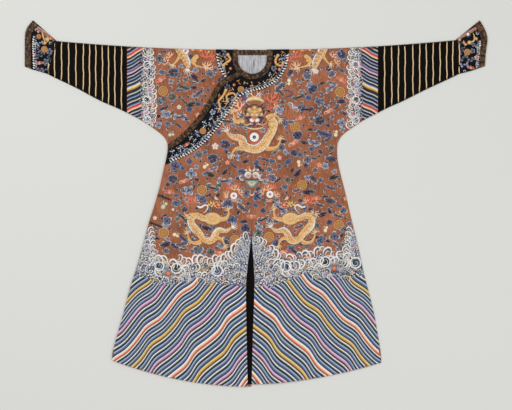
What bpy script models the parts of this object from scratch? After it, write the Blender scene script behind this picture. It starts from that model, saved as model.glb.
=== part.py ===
"""A Chinese dragon robe laid out flat on its back, front up, with its sleeves spread.

The tables below are in millimetres and the model is in metres. +X is the wearer's left,
+Y points to the neck and +Z out of the front. The back lies on the plane z = 0. Left and
right are the wearer's. Widths are measured from the centre seam.
"""

import math

import bmesh
import bpy
import numpy as np
from mathutils import Vector
from mathutils.geometry import delaunay_2d_cdt, intersect_line_line_2d

MM = 0.001
RIGHT, LEFT = -1, 1

# Cloth and layers
WALL = 1.5
SEAM_GAP = 0.3
LINING_WALL = 0.8
UNDER_LEVEL = 3.0  # underside of the inner front over the floor
OVER_LEVEL = UNDER_LEVEL + WALL + SEAM_GAP  # underside of the overlap and the left front
SEWN_LEVEL = WALL + SEAM_GAP  # underside of a front where it is sewn to the back
BAND_WALL = 1.2
BINDING_WALL = 1.6

# Body
CENTRE_X = -20.0
SHOULDER_Y = 637.0
SHOULDER_RISE = 37.0
SHOULDER_REACH = 806.0
HEM_Y = {RIGHT: -760.0, LEFT: -750.0}
HEM_RISE = {RIGHT: 109.0, LEFT: 90.0}
HEM_POWER = {RIGHT: 2.0, LEFT: 1.8}
HEM_HALF = {RIGHT: 577.0, LEFT: 538.0}
SLEEVE_SEAM = {RIGHT: 516.0, LEFT: 525.0}
LEVEL_FALL_FROM = 170.0  # the left front sinks to the inner front's level past here
LEVEL_FALL_OVER = 140.0
SEW_EASE = 26.0  # over which a front comes down to the back at a seam
INNER_EDGE = 30.0  # the inner front stops this far right of the centre seam
CENTRE_CLEAR = 3.0  # a neck curve's last point stays this far from the centre seam
VENT_Y = -151.0

# height y, width on the right, width on the left: side edges from armpit to hem corner
SIDE_EDGE = (
    (250, 346, 355),
    (197, 350, 355),
    (147, 363, 363),
    (73, 379, 382),
    (-27, 408, 406),
    (-77, 425, 417),
    (-176, 450, 442),
    (-276, 479, 463),
    (-351, 504, 482),
    (-450, 529, 507),
    (-550, 558, 525),
    (-625, 578, 537),
)

# height y, width on the right, width on the left: lower sleeve edges, armpit to cuff
SLEEVE_EDGE = (
    (250, 346, 355),
    (272, 356, 364),
    (297, 386, 392),
    (322, 421, 429),
    (347, 460, 467),
    (376, 516, 525),
    (396, 558, 562),
    (421, 618, 621),
    (446, 666, 671),
    (471, 711, 720),
    (496, 761, 774),
    (521, 815, 828),
    (540, 851, 867),
)

# depth below the vent's top, half gap: the front vent hangs open
VENT_EDGE = ((0, 0.15), (60, 8), (190, 17), (390, 13), (606, 8))
VENT_SHIFT = -7.0  # the vent's middle at its widest lies a little to the right
VENT_SHIFT_DEPTH = 400.0  # the shift is whole this far below the vent's top
UNDERLAY_X = (-75.0, 25.0)
UNDERLAY_TOP = 25.0  # over the vent's top
UNDERLAY_HEM = 4.0  # the underlay stops this far above the hem

# Neck
NECK_X = -15.5
NECK_HALF = 60.5
NECK_DEPTH = 63.0
NECK_Y = 600.0
RING_Y = 620.0
RING_RADIUS = 152.0
BINDING_WIDTH = 22.0
LINING_MARGIN = 22.0
LINING_STEPS = 16
BACK_BINDING_EASE = 1.5  # at each end of the back neck's binding

# x, y: free edge of the overlap from the neck down to the armpit
CLOSING_EDGE = (
    (-101, 533),
    (-146, 511),
    (-178, 468),
    (-205, 417),
    (-243, 360),
    (-287, 309),
    (-330, 270),
    (-365, 247),
)
CLOSING_START = math.radians(226)  # where the closing edge leaves the neck curve
BINDING_CORNER = math.radians(233)  # where the binding's inner line turns down the overlap
BINDING_SKIP = 3  # points of the closing edge left out of the inner line at that corner

# x, y: lower edge of the navy band from under the neck ring to the side
BAND_EDGE = (
    (-55, 450),
    (-82, 418),
    (-120, 364),
    (-163, 305),
    (-222, 243),
    (-287, 199),
    (-378, 160),
)
BAND_EDGE_START = math.radians(286)
BAND_HEEL = (-367.5, 219)  # on the side edge, where the binding's inner line meets it

# Folds: x0, y0 to x1, y1, height, half width
OVERLAP_FOLDS = (
    ((-330, 120), (-215, -40), 4.5, 26),
    ((-60, 300), (-90, 40), 3.0, 30),
    ((-250, -180), (-300, -560), 4.0, 34),
    ((-400, -330), (-470, -640), 5.0, 32),
    ((-120, -380), (-150, -730), 4.0, 36),
)
LEFT_FOLDS = (
    ((318, 232), (190, 60), 5.0, 26),
    ((330, 300), (215, 400), 4.0, 24),
    ((70, 300), (90, 20), 3.0, 30),
    ((215, -160), (265, -560), 4.0, 34),
    ((370, -330), (440, -620), 5.0, 32),
    ((85, -380), (110, -730), 4.0, 36),
)
RIGHT_FOLDS = (((-375, 320), (-300, 420), 3.5, 24),)

# Sleeve extensions
SLEEVE_THICK = UNDER_LEVEL + WALL
RIB_PITCH = {RIGHT: 27.5, LEFT: 28.4}
RIB_COUNT = 10
RIB_HALF = 2.2
RIB_HEIGHT = 0.9
RIB_FIRST = 25.0
LAST_RIB_IN = {RIGHT: 4.0, LEFT: 12.0}  # the last line starts this far from the cuff
LAST_RIB_LEAN = 0.45

# height y, reach on the right, reach on the left: wrist edge of the cuffs
CUFF_EDGE = (
    (569, 940, 968),
    (600, 940, 970),
    (637, 940, 973),
    (680, 940, 980),
    (700, 940, 978),
    (720, 936, 970),
    (744, 921, 957),
    (760, 905, 947),
)
CUFF_LOW = {RIGHT: (911, 561), LEFT: (906, 551)}
CUFF_TOP = {RIGHT: (808, 678), LEFT: (847, 679)}
CUFF_FOOT = {RIGHT: (846, 540), LEFT: (867, 540)}
CUFF_BORDER = 27.0
CUFF_BORDER_LIFT = 0.5
CUFF_SAG = 3.0  # the lower edge hangs this far at its lowest point
CUFF_SAG_WITHIN = 60.0
CUFF_STEPS = 5
TUBE_STEPS = 8
INNER_EVERY = 9  # the plain inside of a sleeve keeps every ninth section

# Loops and buttons: name, where the loop is sewn, where the ball lies
FASTENERS = (
    ("waist", (-355, 15), (-404.0, 34)),
    ("hip", (-391, -97), (-438.0, -80)),
)
CORD_RADIUS = 2.2
BALL_RADIUS = 5.0
BALL_Z = OVER_LEVEL + WALL + SEAM_GAP + BALL_RADIUS
BALL_SEGMENTS = 12
BALL_RINGS = 8
CORD_STATIONS = 7

# Mesh
EDGE_STEP = 30.0
GRID_STEP = 37.0
UNDER_STEP = 55.0
PLAIN_STEP = 70.0
BACK_SHOULDER_STATIONS = 8
SHOULDER_CLEAR = 20.0  # the overlap's folds end this far below the shoulder
GRID_CLEAR = 0.58  # of a grid step, kept free beside an edge
FOLD_LINES = (-1.4, -0.7, 0.0, 0.7, 1.4)  # lines along a ridge, in its half widths
FOLD_EDGE_CLEAR = 9.0
ROLL_STEP = 6.0  # flat depth that stands for one eighth turn of the shoulder fold
ROLL_PARTS = 4
ROLL_LIP = 3.0  # the fold runs on this far under the robe, to meet the back
BAND_STEP = 22.0
RIGHT_CUT_STEP = 8.0
RIGHT_CUT_CLEAR = 1.0

# name: sRGB colour, roughness, metallic
FINISHES = {
    "brown silk": ((0.58, 0.31, 0.21), 0.55, 0.0),
    "black silk": ((0.06, 0.05, 0.045), 0.5, 0.0),
    "navy satin": ((0.08, 0.09, 0.16), 0.45, 0.0),
    "brocade": ((0.42, 0.29, 0.18), 0.5, 0.0),
    "pale lining": ((0.70, 0.74, 0.78), 0.6, 0.0),
    "black cord": ((0.07, 0.06, 0.06), 0.7, 0.0),
    "gilt brass": ((0.80, 0.62, 0.30), 0.3, 1.0),
}


# ---------------------------------------------------------------- lines on the flat robe


def width_table(rows, side):
    """Rows of height, right width, left width as points on one side of the robe."""
    return [(CENTRE_X + side * row[1 if side == RIGHT else 2], row[0]) for row in rows]


def resample(points, step, smooth=False):
    """Points about one step apart along a line, through a smooth curve if asked."""
    path = np.array(points, float)
    if smooth and len(path) > 2:
        ends = np.vstack([2 * path[0] - path[1], path, 2 * path[-1] - path[-2]])
        fine = []
        for a, b, c, d in zip(ends, ends[1:], ends[2:], ends[3:]):
            for t in np.linspace(0, 1, 8, endpoint=False):
                fine.append(
                    0.5 * (2 * b + (c - a) * t + (2 * a - 5 * b + 4 * c - d) * t**2
                           + (3 * b - a - 3 * c + d) * t**3)
                )
        path = np.array(fine + [path[-1]])
    run = np.concatenate([[0], np.cumsum(np.linalg.norm(np.diff(path, axis=0), axis=1))])
    count = max(1, round(run[-1] / step))
    at = np.linspace(0, run[-1], count + 1)
    return [(float(np.interp(s, run, path[:, 0])), float(np.interp(s, run, path[:, 1])))
            for s in at]


def offset(path, distance):
    """A line moved to its left by a distance, point by point."""
    pts = np.array(path, float)
    along = np.gradient(pts, axis=0)
    along /= np.linalg.norm(along, axis=1)[:, None]
    return [tuple(p) for p in pts + distance * np.stack([-along[:, 1], along[:, 0]], 1)]


def join(*lines):
    """One closed outline from lines that follow one another."""
    points = []
    for line in lines:
        for point in line:
            if not points or math.dist(point, points[-1]) > 0.5:
                points.append(tuple(point))
    if math.dist(points[0], points[-1]) < 0.5:
        points.pop()
    return points


def shoulder_y(x):
    return SHOULDER_Y + SHOULDER_RISE * ((x - CENTRE_X) / SHOULDER_REACH) ** 2


def hem_y(x):
    side = RIGHT if x < CENTRE_X else LEFT
    share = abs(x - CENTRE_X) / HEM_HALF[side]
    return HEM_Y[side] + HEM_RISE[side] * share ** HEM_POWER[side]


def smoothstep(t):
    t = min(max(t, 0.0), 1.0)
    return t * t * (3 - 2 * t)


def front_level(x):
    """Underside of the left front: it falls to the inner front's level past the chest."""
    fall = smoothstep((x - CENTRE_X - LEVEL_FALL_FROM) / LEVEL_FALL_OVER)
    return OVER_LEVEL + (UNDER_LEVEL - OVER_LEVEL) * fall


def under_level(_x):
    return UNDER_LEVEL


def fold_radius(x, level):
    """Outer radius of the rolled shoulder fold."""
    return (level(x) + WALL) / 2


def flat_end(x, level):
    """Height at which the flat front ends and the shoulder fold begins."""
    return shoulder_y(x) - fold_radius(x, level)


def hem_line(side, start):
    """The hem from a place near the centre out to the corner."""
    corner = CENTRE_X + side * HEM_HALF[side]
    count = round(HEM_HALF[side] / EDGE_STEP)
    return [(x, hem_y(x)) for x in np.linspace(start, corner, count + 1)]


def side_line(side, step=EDGE_STEP):
    corner = (CENTRE_X + side * HEM_HALF[side], HEM_Y[side] + HEM_RISE[side])
    return resample([corner] + width_table(SIDE_EDGE, side)[::-1], step, smooth=True)


def sleeve_line(side, step=EDGE_STEP):
    """The underarm edge from the armpit to the sleeve seam."""
    rows = [row for row in SLEEVE_EDGE if row[1 if side == RIGHT else 2] <= SLEEVE_SEAM[side]]
    points = width_table(rows, side)
    points[-1] = (CENTRE_X + side * (SLEEVE_SEAM[side] - SEAM_GAP / 2), rows[-1][0])
    return resample(points, step, smooth=True)


def neck_arc(start, end, radius=0.0, step=BAND_STEP / 2):
    """The neck curve between two angles, moved outward by radius."""
    a, b = NECK_HALF + radius, NECK_DEPTH + radius
    count = max(2, round(abs(end - start) * a / step))
    return [(NECK_X + a * math.cos(t), NECK_Y + b * math.sin(t))
            for t in np.linspace(start, end, count + 1)]


def ring_arc(start, end, radius=RING_RADIUS):
    count = max(2, round(abs(end - start) * radius / BAND_STEP))
    return [(NECK_X + radius * math.cos(t), RING_Y + radius * math.sin(t))
            for t in np.linspace(start, end, count + 1)]


def vent_line(side):
    """The edge of the front vent from its top down to the hem."""
    line = []
    for depth, gap in VENT_EDGE:
        shift = VENT_SHIFT * math.sin(math.pi / 2 * min(1.0, depth / VENT_SHIFT_DEPTH))
        x = CENTRE_X + shift + side * gap
        line.append((x, VENT_Y - depth))
    line[-1] = (line[-1][0], hem_y(line[-1][0]))
    return resample(line, EDGE_STEP, smooth=True)


def centre_line(side, top):
    """The centre seam from a height down to the top of the vent."""
    x = CENTRE_X + side * SEAM_GAP / 2
    return resample([(x, top), (x, VENT_Y)], EDGE_STEP)


# ---------------------------------------------------------------- surfaces


def distance_to(path, x, y):
    """Distance from a place to a line."""
    a, b = path[:-1], path[1:]
    run = b - a
    t = ((np.array((x, y)) - a) * run).sum(1) / np.maximum((run**2).sum(1), 1e-9)
    near = a + run * np.clip(t, 0, 1)[:, None]
    return float(np.sqrt(((near - (x, y)) ** 2).sum(1)).min())


def fold_height(folds, x, y):
    """Lift of the cloth by its soft ridges."""
    lift = 0.0
    for start, end, height, half in folds:
        run = np.subtract(end, start)
        t = float(np.dot(np.subtract((x, y), start), run) / np.dot(run, run))
        off = math.dist((x, y), tuple(np.add(start, run * min(max(t, 0), 1))))
        lift = max(lift, height * math.exp(-((off / half) ** 2)) * min(1.0, math.sin(
            math.pi * min(max(t, 0.02), 0.98)) ** 0.5))
    return lift


def fold_points(folds):
    """Points along each ridge, its slopes and its feet, so that the mesh follows it."""
    points = []
    for start, end, _, half in folds:
        run = np.subtract(end, start)
        length = np.linalg.norm(run)
        across = np.array((-run[1], run[0])) / length * half
        for share in FOLD_LINES:
            for t in np.linspace(0, 1, 1 + round(length / EDGE_STEP)):
                points.append(tuple(np.add(start, run * t) + across * share))
    return points


def off_folds(folds, x, y, clear):
    """Whether a place is clear of every ridge's own points."""
    return all(
        distance_to(np.array((start, end), float), x, y)
        > FOLD_LINES[-1] * half + clear for start, end, _, half in folds)


def front_surface(level, folds, sewn):
    """Maps a flat place to the outer face of a front, with its seams, folds and roll."""
    sewn = [np.array(path) for path in sewn]

    def place(x, v, lift=0.0):
        end = flat_end(x, level)
        radius = fold_radius(x, level)
        if v > end + 1e-6:
            share = (v - end) / (ROLL_PARTS * ROLL_STEP)
            turn = math.pi / 2 * (1 - 2 * min(share, 1.0))
            r = radius + lift
            lip = ROLL_LIP if share > 1.01 else 0.0
            return (x, end + r * math.cos(turn) - lip, radius + r * math.sin(turn))
        near = min((distance_to(path, x, v) for path in sewn), default=1e3)
        z = level(x) + fold_height(folds, x, v) * smoothstep(near / (2 * SEW_EASE))
        z = SEWN_LEVEL + (z - SEWN_LEVEL) * smoothstep(near / SEW_EASE)
        return (x, v, z + WALL + lift)

    return place


def shoulder_rows(start, end, level):
    """The fold line and its rows of points, from the sleeve seam toward the neck."""
    count = round(abs(end - start) / EDGE_STEP)
    stations = np.linspace(start, end, count + 1)
    return [[(x, flat_end(x, level) + k * ROLL_STEP) for x in stations]
            for k in range(ROLL_PARTS + 2)]


def inside(outline, x, y):
    """Whether a place lies in an outline."""
    hit = False
    for (ax, ay), (bx, by) in zip(outline, outline[1:] + outline[:1]):
        if (ay > y) != (by > y) and x < ax + (y - ay) / (by - ay) * (bx - ax):
            hit = not hit
    return hit


def grid_points(outline, step, fold_line, folds):
    """A staggered grid inside an outline, below the shoulder fold and clear of the ridges."""
    edge = np.array(outline + outline[:1])
    low, high = edge.min(0), edge.max(0)
    clear = GRID_CLEAR * step
    points = []
    for j, y in enumerate(np.arange(low[1] + step / 2, high[1], step * math.sqrt(0.75))):
        for x in np.arange(low[0] + step / (1 + j % 2), high[0], step):
            if fold_line and y > np.interp(x, *zip(*fold_line)) - clear:
                continue
            if not inside(outline, x, y) or distance_to(edge, x, y) < clear:
                continue
            if off_folds(folds, x, y, clear / 2):
                points.append((x, y))
    return points


def triangulate(outline, step, rows=(), folds=()):
    """Triangles over an outline, with a grid of points, the shoulder rows and the ridges."""
    edge = np.array(outline + outline[:1])
    points = list(outline)
    for row in rows:
        points += row[1:-1]
    points += [(x, y) for x, y in fold_points(folds)
               if inside(outline, x, y) and distance_to(edge, x, y) > FOLD_EDGE_CLEAR]
    if step:
        points += grid_points(outline, step, sorted(rows[0]) if rows else None, folds)
    loop = [list(range(len(outline)))]
    verts, _, faces, *_ = delaunay_2d_cdt([Vector(p) for p in points], [], loop, 1, 1e-4)
    return [tuple(v) for v in verts], [tuple(f) for f in faces]


# ---------------------------------------------------------------- making solids


def add_object(name, mesh, finish, collection):
    obj = bpy.data.objects.new(name, mesh)
    mesh.materials.append(materials[finish])
    collection.objects.link(obj)
    return obj


def add_solidify(obj, wall):
    """Gives an open surface its wall, inward from the outer face."""
    solid = obj.modifiers.new("wall", "SOLIDIFY")
    solid.thickness = wall * MM
    solid.offset = -1
    solid.use_even_offset = True
    return solid


def cloth(name, outline, place, wall, finish, step=0.0, rows=(), folds=()):
    """A cut piece of cloth: its outline filled, set on its surface and given its wall."""
    verts, faces = triangulate(outline, step, rows, folds)
    mesh = bpy.data.meshes.new(name)
    bm = bmesh.new()
    made = [bm.verts.new(Vector(place(x, y)) * MM) for x, y in verts]
    for face in faces:
        bm.faces.new([made[i] for i in face])
    if sum(f.normal.z * f.calc_area() for f in bm.faces) < 0:
        bmesh.ops.reverse_faces(bm, faces=bm.faces)
    bm.to_mesh(mesh)
    bm.free()
    add_solidify(add_object(name, mesh, finish, robe), wall)


def flat(level):
    """A plain surface whose outer face lies at one height."""
    return lambda x, y: (x, y, level)


def tube(name, outer, inner, finish):
    """A closed wall between an outer and an inner set of rings, from mouth to mouth."""
    mesh = bpy.data.meshes.new(name)
    bm = bmesh.new()
    walls = [[[bm.verts.new(Vector(p) * MM) for p in ring] for ring in rings]
             for rings in (outer, inner)]
    for rings in walls:
        for a, b in zip(rings, rings[1:]):
            for i in range(len(a)):
                bm.faces.new((a[i - 1], a[i], b[i], b[i - 1]))
    for end in (0, -1):
        a, b = walls[0][end], walls[1][end]
        for i in range(len(a)):
            bm.faces.new((a[i - 1], a[i], b[i], b[i - 1]))
    bmesh.ops.recalc_face_normals(bm, faces=bm.faces)
    bm.to_mesh(mesh)
    bm.free()
    return add_object(name, mesh, finish, robe)


def section(line, thick, wall, lift=0.0):
    """Outer and inner ring of a pressed tube over a line from its lower to its upper edge."""
    path = np.array(line, float)
    low_dir = (path[1] - path[0]) / np.linalg.norm(path[1] - path[0])
    top_dir = (path[-1] - path[-2]) / np.linalg.norm(path[-1] - path[-2])
    rings = []
    for inset, radius in ((0.0, thick / 2), (wall, thick / 2 - wall)):
        low = path[0] + low_dir * (inset + radius)
        top = path[-1] - top_dir * (inset + radius)
        flat_run = [low] + list(path[1:-1]) + [top]
        ring = [(x, y, thick / 2 - radius) for x, y in flat_run]
        for turn in (-45, 0, 45):
            out = top + top_dir * radius * math.cos(math.radians(turn))
            ring.append((*out, thick / 2 + radius * math.sin(math.radians(turn))))
        raised = lift if inset == 0 else 0.0
        last = len(flat_run) - 1
        ring += [(x, y, thick / 2 + radius + (raised if 0 < i < last else 0.0))
                 for i, (x, y) in reversed(list(enumerate(flat_run)))]
        for turn in (45, 0, -45):
            out = low - low_dir * radius * math.cos(math.radians(turn))
            ring.append((*out, thick / 2 + radius * math.sin(math.radians(turn))))
        rings.append(ring)
    return rings


# ---------------------------------------------------------------- the pieces


def front_outline(side, level, inner_lines):
    """A front from hem to shoulder; inner_lines run from the shoulder to the hem."""
    seam_x = CENTRE_X + side * (SLEEVE_SEAM[side] - SEAM_GAP / 2)
    neck_x = NECK_X + side * NECK_HALF
    rows = shoulder_rows(seam_x, neck_x, level)
    sleeve = sleeve_line(side)
    seam = resample([sleeve[-1], rows[0][0]], EDGE_STEP)
    ends = [row[0] for row in rows]
    neck_ends = [row[-1] for row in rows[::-1]]
    lines = [side_line(side), sleeve, seam, ends, rows[-1], neck_ends] + inner_lines
    return join(*lines), rows[:-1]


def make_backs():
    for side, name in ((RIGHT, "back_right"), (LEFT, "back_left")):
        level = under_level if side == RIGHT else front_level
        seam_x = CENTRE_X + side * (SLEEVE_SEAM[side] - SEAM_GAP / 2)
        neck_x = NECK_X + side * (NECK_HALF - SEAM_GAP)
        centre = CENTRE_X + side * SEAM_GAP / 2
        top = [(x, flat_end(x, level) - ROLL_LIP - SEAM_GAP)
               for x in np.linspace(seam_x, neck_x, BACK_SHOULDER_STATIONS)]
        tab = [(neck_x, shoulder_y(neck_x)), (centre, shoulder_y(centre))]
        seam = resample([sleeve_line(side, PLAIN_STEP)[-1], top[0]], PLAIN_STEP)
        inner = resample([tab[-1], (centre, hem_y(centre))], PLAIN_STEP)
        outline = join(hem_line(side, centre), side_line(side), sleeve_line(side),
                       seam, top, tab, inner)
        cloth(name, outline, flat(WALL), WALL, "brown silk")


def make_left_front():
    side = LEFT
    neck = neck_arc(0.0, -math.pi / 2 - (NECK_X - CENTRE_X) / NECK_HALF, step=BAND_STEP)
    neck = [p for p in neck if p[0] > CENTRE_X + CENTRE_CLEAR]
    seam_top = NECK_Y - NECK_DEPTH
    inner = [neck, centre_line(side, seam_top), vent_line(side),
             hem_line(side, vent_line(side)[-1][0])]
    outline, rows = front_outline(side, front_level, inner)
    sewn = [side_line(side), sleeve_line(side)]
    cloth("front_left", outline, front_surface(front_level, LEFT_FOLDS, sewn), WALL,
          "brown silk", GRID_STEP, rows, LEFT_FOLDS)


def make_under_front():
    side = RIGHT
    edge_x = CENTRE_X - INNER_EDGE
    stop = math.pi + math.acos((NECK_X - edge_x) / NECK_HALF)
    neck = neck_arc(math.pi, stop, step=BAND_STEP)
    inner = [neck, resample([neck[-1], (edge_x, hem_y(edge_x))], PLAIN_STEP),
             hem_line(side, edge_x)]
    outline, rows = front_outline(side, under_level, inner)
    sewn = [side_line(side), sleeve_line(side)]
    cloth("under_front", outline, front_surface(under_level, RIGHT_FOLDS, sewn), WALL,
          "brown silk", UNDER_STEP, rows, RIGHT_FOLDS)


def closing_line(step=BAND_STEP):
    """The overlap's free edge from the neck curve to the armpit."""
    start = neck_arc(CLOSING_START, CLOSING_START + 0.1)[0]
    return resample((start,) + CLOSING_EDGE, step, smooth=True)


def band_line():
    """The navy band's lower edge from under the ring to the side."""
    start = ring_arc(BAND_EDGE_START, BAND_EDGE_START + 0.1)[0]
    return resample((start,) + BAND_EDGE, BAND_STEP, smooth=True)


def make_overlap():
    side = RIGHT
    armpit = closing_line()[-1]
    edge = [p for p in side_line(side) if p[1] < armpit[1] - EDGE_STEP / 2] + [armpit]
    neck = neck_arc(CLOSING_START, 1.5 * math.pi, step=BAND_STEP)
    neck = [p for p in neck if p[0] < CENTRE_X - CENTRE_CLEAR]
    centre = centre_line(side, NECK_Y - NECK_DEPTH)
    vent = vent_line(side)
    outline = join(edge, closing_line()[::-1], neck, centre, vent,
                   hem_line(side, vent[-1][0]))
    folds = front_surface(lambda x: OVER_LEVEL, OVERLAP_FOLDS, [])
    level = OVER_LEVEL + WALL

    def place(x, y):
        z = folds(x, min(y, shoulder_y(x) - SHOULDER_CLEAR))[2]
        near = distance_to(np.array(band_line()), x, y)
        above = y > np.interp(x, *zip(*sorted(band_line())))
        calm = 0.0 if above else smoothstep(near / SEW_EASE)
        return (x, y, level + (z - level) * calm)

    cloth("overlap", outline, place, WALL, "brown silk", GRID_STEP, (), OVERLAP_FOLDS)


def make_lining():
    low = NECK_Y - NECK_DEPTH - LINING_MARGIN
    high = SHOULDER_Y - 2 * WALL - UNDER_LEVEL
    half = NECK_HALF + LINING_MARGIN
    arc = [(NECK_X + half * math.cos(t), NECK_Y + (NECK_Y - low) * math.sin(t))
           for t in np.linspace(math.pi, math.tau, LINING_STEPS + 1)]
    outline = join(arc, [(NECK_X + half, high), (NECK_X - half, high)])
    cloth("neck_lining", outline, flat(WALL + SEAM_GAP + LINING_WALL), LINING_WALL,
          "pale lining")
    low = [(x, hem_y(x) + UNDERLAY_HEM) for x in UNDERLAY_X]
    outline = low + [(x, VENT_Y + UNDERLAY_TOP) for x in UNDERLAY_X[::-1]]
    cloth("vent_underlay", outline, flat(WALL + SEAM_GAP + LINING_WALL), LINING_WALL,
          "black silk")


def shoulder_end(x0, x1):
    """The rows by which a band on a front turns over the shoulder fold."""
    level = front_level if x0 > NECK_X else under_level
    stations = np.linspace(x0, x1, 1 + max(2, round(abs(x1 - x0) / BAND_STEP)))
    return [[(x, flat_end(x, level) + k * ROLL_STEP) for x in stations]
            for k in range(ROLL_PARTS // 2 + 1)]


def band_surface(wall):
    """Outer face of a piece that lies on a front and turns over the fold with it."""
    left = front_surface(front_level, (), [])
    right = front_surface(under_level, (), [])

    def place(x, y, on_left=True):
        return (left if on_left else right)(x, y, SEAM_GAP + wall)

    return place


def make_collar():
    inner = BINDING_WIDTH + SEAM_GAP
    closing = closing_line()
    strip = offset(closing, BINDING_WIDTH)[BINDING_SKIP:]
    band_in = offset(closing, inner)[BINDING_SKIP:]
    heel = (BAND_HEEL[0], BAND_HEEL[1] - SEAM_GAP * 1.5)

    x_in, x_out = NECK_X + NECK_HALF, NECK_X + NECK_HALF + BINDING_WIDTH
    rows = shoulder_end(x_out, x_in)
    outline = join(
        neck_arc(math.tau, CLOSING_START), closing, [BAND_HEEL], strip[::-1],
        neck_arc(BINDING_CORNER, math.tau, BINDING_WIDTH),
        [row[0] for row in rows], rows[-1], [row[-1] for row in rows[::-1]],
    )
    place = band_surface(BINDING_WALL)
    cloth("collar_binding", outline, place, BINDING_WALL, "brocade", 0.0, rows[:-1])

    ring_x = NECK_X + math.sqrt(RING_RADIUS**2 - (SHOULDER_Y - RING_Y) ** 2)
    rows = shoulder_end(ring_x, x_out + SEAM_GAP)
    ring_top = math.asin((rows[0][0][1] - RING_Y) / RING_RADIUS)
    outline = join(
        neck_arc(math.tau, BINDING_CORNER, inner), band_in, [heel], band_line()[::-1],
        ring_arc(BAND_EDGE_START, math.tau + ring_top),
        [row[0] for row in rows], rows[-1], [row[-1] for row in rows[::-1]],
    )
    place = band_surface(BAND_WALL)
    cloth("collar_band", outline, place, BAND_WALL, "navy satin", 0.0, rows[:-1])


def cut_at(line, cut):
    """The part of a line before it crosses another, and how far along the other it does."""
    kept = []
    for a, b in zip(line, line[1:]):
        kept.append(a)
        for i, (c, d) in enumerate(zip(cut, cut[1:])):
            met = intersect_line_line_2d(a, b, c, d)
            if met:
                return kept + [tuple(met)], i
    raise ValueError("the collar line never meets the closing edge")


def make_right_collar():
    """The parts of the collar that stay on the inner front, cut off at the closing edge."""
    cut = offset(closing_line(RIGHT_CUT_STEP), -RIGHT_CUT_CLEAR)
    head = (2 * cut[0][0] - cut[1][0], 2 * cut[0][1] - cut[1][1])
    cut = [head] + cut
    x_in, x_out = NECK_X - NECK_HALF, NECK_X - NECK_HALF - BINDING_WIDTH

    def place(wall):
        surface = band_surface(wall)
        return lambda x, y: surface(x, y, on_left=False)

    def piece(name, outer, inner, rows, wall, finish):
        outer, far = cut_at(outer, cut)
        inner, near = cut_at(inner, cut)
        outline = join(outer, cut[near + 1:far + 1][::-1], inner[::-1],
                       [row[0] for row in rows], rows[-1], [row[-1] for row in rows[::-1]])
        cloth(name, outline, place(wall), wall, finish, 0.0, rows[:-1])

    low = 1.5 * math.pi
    piece("collar_binding_right", neck_arc(math.pi, low, BINDING_WIDTH),
          neck_arc(math.pi, low), shoulder_end(x_in, x_out), BINDING_WALL, "brocade")

    ring_x = NECK_X - math.sqrt(RING_RADIUS**2 - (SHOULDER_Y - RING_Y) ** 2)
    rows = shoulder_end(x_out - SEAM_GAP, ring_x)
    start = math.pi - math.asin((rows[0][-1][1] - RING_Y) / RING_RADIUS)
    piece("collar_band_right", ring_arc(start, low),
          neck_arc(math.pi, low, BINDING_WIDTH + SEAM_GAP), rows, BAND_WALL, "navy satin")


def make_back_binding():
    half = NECK_HALF - BACK_BINDING_EASE
    z = WALL + SEAM_GAP + LINING_WALL + SEAM_GAP + BAND_WALL
    top = [(x, shoulder_y(x)) for x in (NECK_X + half, NECK_X, NECK_X - half)]
    low = [(x, y - BINDING_WIDTH) for x, y in top[::-1]]
    cloth("collar_binding_back", join(top, low), flat(z), BAND_WALL, "brocade")


def sleeve_stations(side):
    """Rows of reach at the fold, lean of the foot and lift, three for each raised line."""
    length = CUFF_TOP[side][0] - SLEEVE_SEAM[side]
    lean = CUFF_FOOT[side][0] - CUFF_TOP[side][0]
    crests = [(RIB_FIRST + i * RIB_PITCH[side], 0.0) for i in range(RIB_COUNT)]
    crests.append((length - LAST_RIB_IN[side], lean * LAST_RIB_LEAN))
    stations = [(SEAM_GAP / 2, 0.0, 0.0)]
    for middle, foot in crests:
        stations += [(middle - RIB_HALF, foot, 0.0), (middle, foot, RIB_HEIGHT),
                     (middle + RIB_HALF, foot, 0.0)]
    stations.append((length - SEAM_GAP / 2, lean, 0.0))
    return stations


def sleeve_cut(side, at, lean):
    """A line over the sleeve from its lower to its upper edge."""
    column = 1 if side == RIGHT else 2
    rows = sorted(SLEEVE_EDGE, key=lambda row: row[1])
    foot = SLEEVE_SEAM[side] + at + lean
    low = np.interp(foot, [row[column] for row in rows], [row[0] for row in rows])
    head = SLEEVE_SEAM[side] + at
    top = shoulder_y(CENTRE_X + side * head)
    shares = np.linspace(0, 1, TUBE_STEPS)
    return [(CENTRE_X + side * (foot + (head - foot) * t), low + (top - low) * t)
            for t in shares]


def make_sleeves():
    for side, name in ((RIGHT, "sleeve_right"), (LEFT, "sleeve_left")):
        rings = [section(sleeve_cut(side, at, lean), SLEEVE_THICK, WALL, lift)
                 for at, lean, lift in sleeve_stations(side)]
        plain = rings[:1] + rings[2:-1:INNER_EVERY] + rings[-1:]
        tube(name, [r[0] for r in rings], [r[1] for r in plain], "black silk")


def cuff_lines(side):
    """Lines over the cuff from the sleeve's end to the wrist edge, lower edge first."""
    at, lean, _ = sleeve_stations(side)[-1]
    start = sleeve_cut(side, at + SEAM_GAP, lean)
    rows = [(CENTRE_X + side * row[1 if side == RIGHT else 2], row[0]) for row in CUFF_EDGE]
    end = resample(rows, 1.0, smooth=True)
    shares = np.linspace(0, 1, TUBE_STEPS)
    end = [end[round(t * (len(end) - 1))] for t in shares]
    return np.array(start), np.array(end)


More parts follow.
